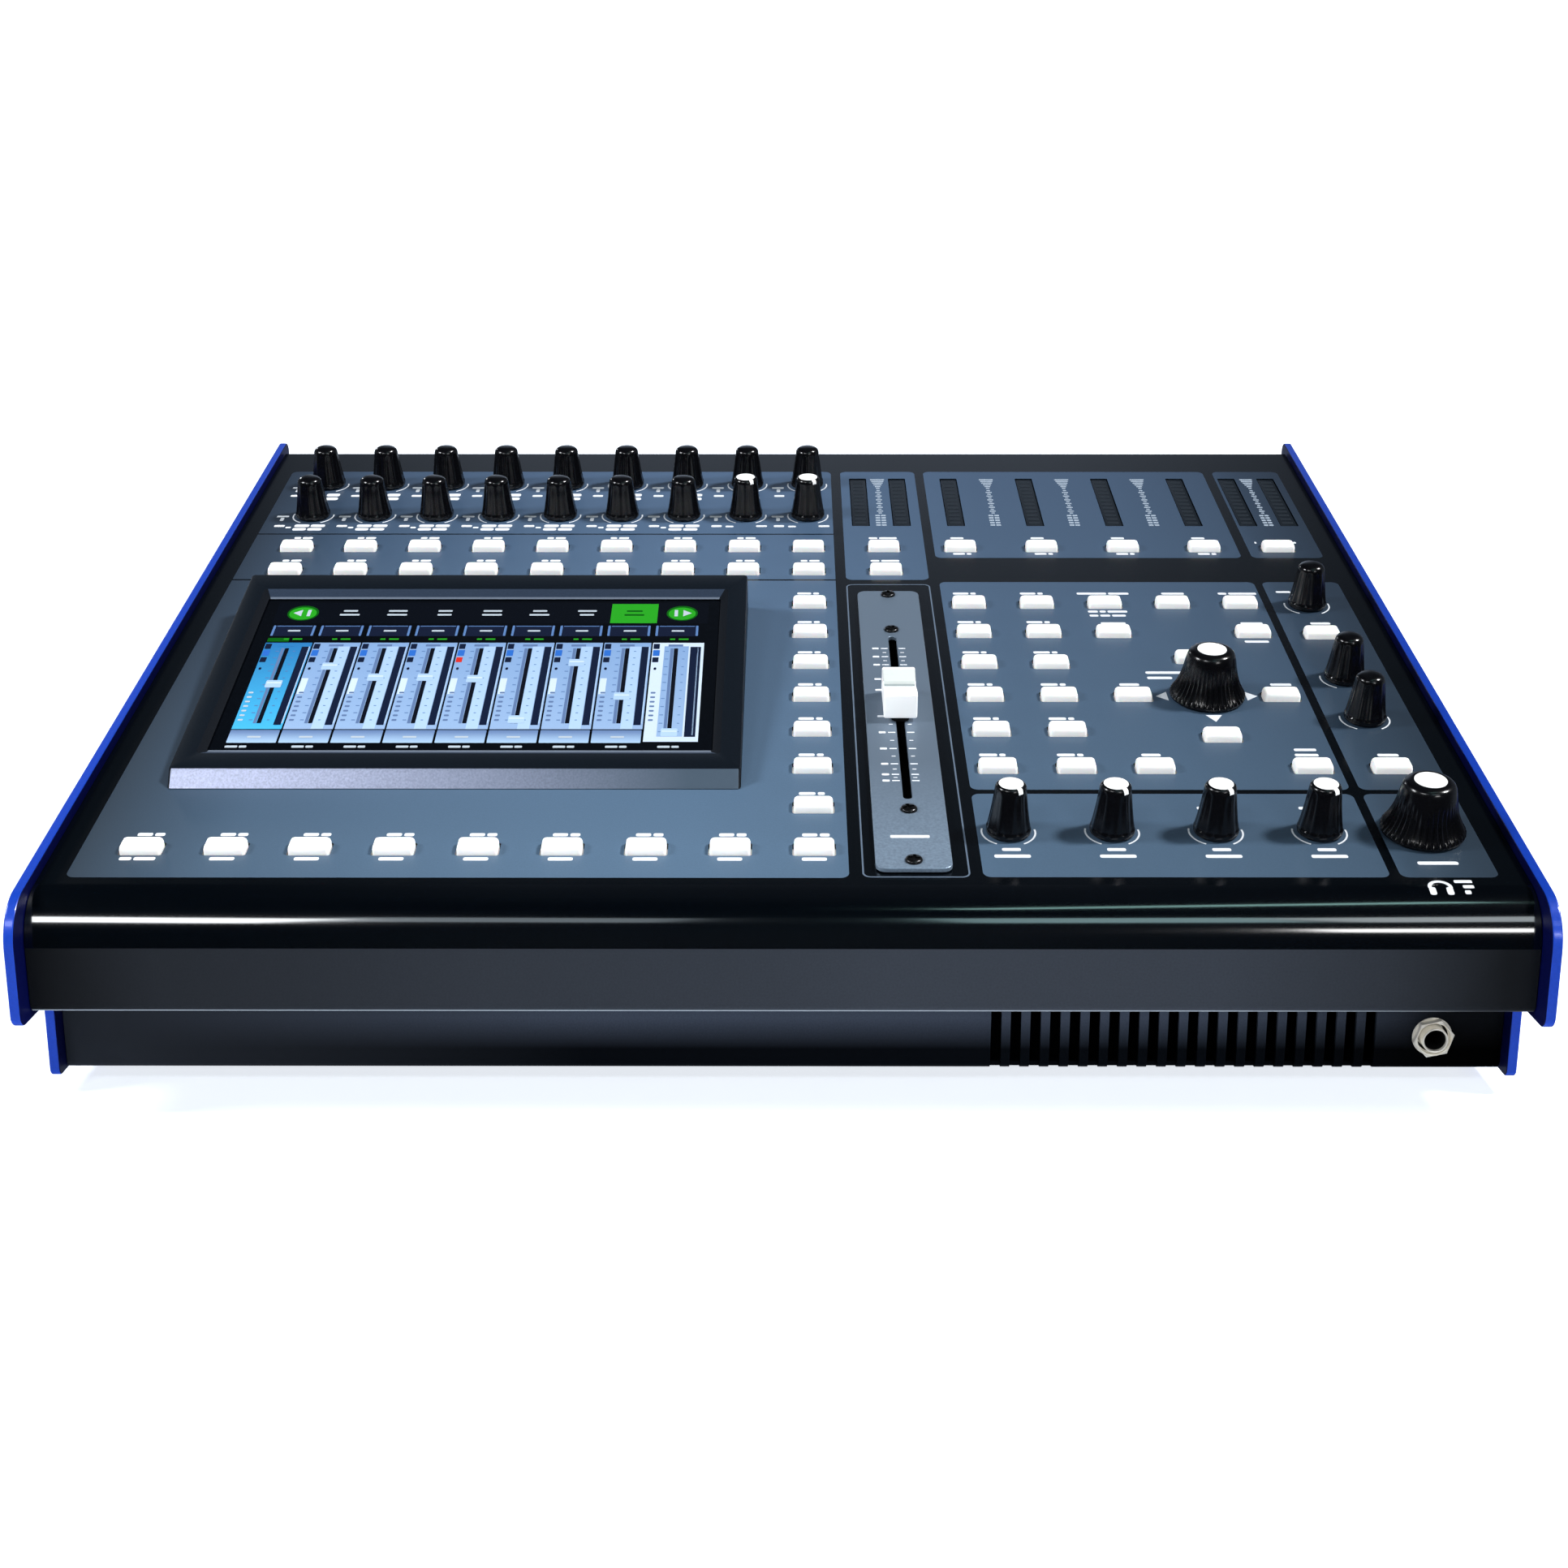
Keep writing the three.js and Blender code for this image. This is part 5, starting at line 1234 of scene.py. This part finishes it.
for x in LINE_XS:
    at = shift(-x, LINE_Z)
    collar = tube_mesh([(4.0, -4), (4.0, 1.6), (3.8, 1.9), (3.4, 1.9), (3.2, 1.6), (3.2, -4)], 32)
    socket_parts.append((moved(collar, at), 1))
    ring_nut = plate_mesh([circle(0, 0, 6.0, 6)], 0.05, 1.3, 0.2, [circle(0, 0, 4.1, 24)])
    socket_parts.append((moved(ring_nut, at), 1))
piece("rear_socket_row", merged(socket_parts), [FINISH["moulded"], FINISH["nickel"]], BACK,
      replaces=["socket_block"])

inlet_shell = plate_mesh([rounded_rect(-INLET[0], INLET[1], 27, 20, 2.0)], -23, 1.0, 0.3,
                         [rounded_rect(-INLET[0], INLET[1], 23.8, 16.8, 3.0)])
inlet_back = plate_mesh([rounded_rect(-INLET[0], INLET[1], 25, 18, 1.0)], -23, -20)
blades = [(-INLET[0] - 7, INLET[1] - 1.5), (-INLET[0], INLET[1] + 2.5),
          (-INLET[0] + 7, INLET[1] - 1.5)]
blade_mesh = plate_mesh([rounded_rect(a, b, 2, 4.5, 0.5, 3) for a, b in blades], -21, -6, 0.2)
piece("mains_inlet", merged([(inlet_shell, 0), (inlet_back, 0), (blade_mesh, 1)]),
      [FINISH["moulded"], FINISH["nickel"]], BACK, replaces=["power_inlet"])

rocker_side = filleted([
    (-4.5, -6.5, 1), (2.2, -9.5, 0.8), (1.0, 0, 6), (2.2, 9.5, 0.8), (-4.5, 6.5, 1),
], 5)
ROCKER_FRAME = Matrix.Translation((ROCKER[0], BACK_Y, ROCKER[1]))
ROCKER_FRAME = ROCKER_FRAME @ Matrix.Rotation(math.radians(8), 4, "X") @ SIDE_AXES
rocker = plate_mesh([rocker_side], -6.5, 6.5, 0.4, (), 3)
piece("rocker_paddle", rocker, [FINISH["moulded"]], ROCKER_FRAME, body="power_rocker",
      replaces=["power_rocker"])

# ---- feet --------------------------------------------------------------------------------
for name in ("foot_front_left", "foot_front_right", "foot_rear_left", "foot_rear_right"):
    low, high = (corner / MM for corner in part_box(name))
    middle = (low + high) / 2
    foot = turned_mesh([(7.6, 0.0), (8.5, 0.25), (9.0, 1.0), (8.9, 3.4), (8.6, 5.2),
                        (8.3, 5.7)], 40)
    recess = turned_mesh([(3.2, -1), (3.2, 3.2)], 24)
    piece(f"{name}_pad", carved(foot, [recess]), [FINISH["rubber"]],
          shift(middle.x, middle.y, low.z), replaces=[name])

# ---- parts that stay as the frame has them ------------------------------------------------
KEPT = {
    "lcd_module": "zinc", "fader_track": "slot", "surface_board_left": "board",
    "surface_board_right": "board", "main_board": "board", "power_supply": "zinc",
}
for name, finish in KEPT.items():
    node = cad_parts[name]
    node.data.materials.clear()
    node.data.materials.append(FINISH[finish])

# ---- floor, light and camera -------------------------------------------------------------
BOWL_RADIUS = 3.2
WALL = 1.3
WALL_TOP = 4.0
BOWL_STEPS = 96


def bowl_mesh(name, profile, closed):
    """Spins (radius, height) points, in metres, into a surface; closed adds the middle disc."""
    points = [(x, y, h) for r, h in profile for x, y in circle(0, 0, r, BOWL_STEPS)]
    made = [tuple(range(BOWL_STEPS))] if closed else []
    for row in range(len(profile) - 1):
        near, far = row * BOWL_STEPS, (row + 1) * BOWL_STEPS
        for i in range(BOWL_STEPS):
            j = (i + 1) % BOWL_STEPS
            made.append((near + i, far + i, far + j, near + j))
    mesh = bpy.data.meshes.new(name)
    mesh.from_pydata(points, [], made)
    mesh.shade_smooth()
    return mesh


def staged(name, mesh, finish):
    mesh.materials.append(finish)
    made = bpy.data.objects.new(name, mesh)
    bpy.context.scene.collection.objects.link(made)
    return made


FLOOR_RADIUS = BOWL_RADIUS - WALL
floor = staged("studio_floor", bowl_mesh("studio_floor", [(0.02, 0.0), (1.0, 0.0),
                                                          (FLOOR_RADIUS, 0.0)], True),
               FINISH["floor"])
# Glossy parts mirror the dim lower half of the world in place of the bright floor.
floor.visible_glossy = False
# The wall closes the view behind the desk; the light and the reflections come from the world.
wall = staged("studio_wall", bowl_mesh("studio_wall", [
    (FLOOR_RADIUS + WALL * math.sin(math.radians(a)), WALL - WALL * math.cos(math.radians(a)))
    for a in range(0, 85, 6)] + [(BOWL_RADIUS, WALL), (BOWL_RADIUS, WALL_TOP)], False),
              FINISH["wall"])
wall.visible_diffuse = False
wall.visible_glossy = False
wall.visible_transmission = False
wall.visible_shadow = False

# Brightness of the sky by the sine of the elevation: a bright horizon under a dark ceiling.
SKY = ((0.0, 0.95), (0.208, 0.95), (0.342, 0.7), (0.574, 0.42), (0.616, 0.15), (0.719, 0.04),
       (1.0, 0.025))
SKY_TINT = (0.75, 0.88, 1.1)
world = bpy.data.worlds.new("studio")
world.use_nodes = True
nodes, links = world.node_tree.nodes, world.node_tree.links
direction = nodes.new("ShaderNodeTexCoord")
split = nodes.new("ShaderNodeSeparateXYZ")
links.new(direction.outputs["Generated"], split.inputs["Vector"])
sky = colour_ramp(nodes, [(place, shade(SKY_TINT, level)) for place, level in SKY])
links.new(split.outputs["Z"], sky.inputs["Fac"])
# The side behind the viewer is dark.
viewer_side = map_range(nodes, -0.3, 0.1, 0.03, 1.0)
links.new(split.outputs["Y"], viewer_side.inputs["Value"])
# It also fades to both sides, which leaves the outer edges of the deck black.
aside = nodes.new("ShaderNodeMath")
aside.operation = "ABSOLUTE"
links.new(split.outputs["X"], aside.inputs[0])
sides = map_range(nodes, 0.12, 0.27, 1.0, 0.2)
links.new(aside.outputs["Value"], sides.inputs["Value"])
strength = nodes.new("ShaderNodeMath")
strength.operation = "MULTIPLY"
links.new(viewer_side.outputs["Result"], strength.inputs[0])
links.new(sides.outputs["Result"], strength.inputs[1])
background = nodes["Background"]
links.new(sky.outputs["Color"], background.inputs["Color"])
links.new(strength.outputs["Value"], background.inputs["Strength"])
bpy.context.scene.world = world


def aim(holder, place, target):
    holder.location = place
    way = Vector(target) - Vector(place)
    holder.rotation_euler = way.to_track_quat("-Z", "Y").to_euler()


def softbox(name, place, target, size, energy, colour=(1, 1, 1)):
    lamp = bpy.data.lights.new(name, "AREA")
    lamp.shape = "RECTANGLE"
    lamp.size, lamp.size_y = size
    lamp.energy = energy
    lamp.color = colour
    holder = bpy.data.objects.new(name, lamp)
    bpy.context.scene.collection.objects.link(holder)
    aim(holder, place, target)
    return holder


sun = bpy.data.lights.new("key_sun", "SUN")
sun.energy = 3.3
sun.angle = math.radians(9)
sun_holder = bpy.data.objects.new("key_sun", sun)
bpy.context.scene.collection.objects.link(sun_holder)
aim(sun_holder, (1.3, -0.15, 1.66), (0, 0, 0))
NOSE = (0, -0.18, 0.07)
for name, place, size, energy, colour in (
        ("nose_left", (-0.74, -1.39, 1.12), (0.5, 0.3), 5.8, (0.95, 0.98, 1)),
        ("nose_left_dim", (-0.3, -1.39, 1.12), (0.38, 0.26), 0.5, (0.75, 0.9, 1)),
        ("nose_right_dim", (0.34, -1.39, 1.12), (0.36, 0.28), 0.75, (0.6, 0.95, 1)),
        ("nose_right", (0.74, -1.32, 1.18), (0.42, 0.28), 1.2, (0.85, 0.95, 1)),
        ("nose_right_low", (0.78, -1.67, 0.64), (0.46, 0.2), 3.8, (1, 1, 1)),
        ("nose_crown", (0.42, -0.6, 1.5), (0.7, 0.07), 0.55, (0.55, 1, 0.95))):
    softbox(name, place, NOSE, size, energy, colour)
softbox("back_left_box", (-1.2, 1.9, 1.0), (0, 0, 0.1), (0.22, 0.2), 2.4, (0.92, 0.96, 1))
# A second key light on the left, so that the left half throws its shadows to the right.
softbox("left_box", (-0.95, -0.3, 0.8), (-0.1, -0.1, 0.08), (0.3, 0.3), 9, (0.94, 0.97, 1))

camera_data = bpy.data.cameras.new("camera")
camera_data.lens = 48.764
camera_data.sensor_width = 36
camera = bpy.data.objects.new("camera", camera_data)
camera.location = (0.00189, -0.75101, 0.25501)
camera.rotation_euler = (math.radians(90 - 14.922), 0, 0.0025)
bpy.context.scene.collection.objects.link(camera)
bpy.context.scene.camera = camera
bpy.context.scene.view_settings.view_transform = "Standard"
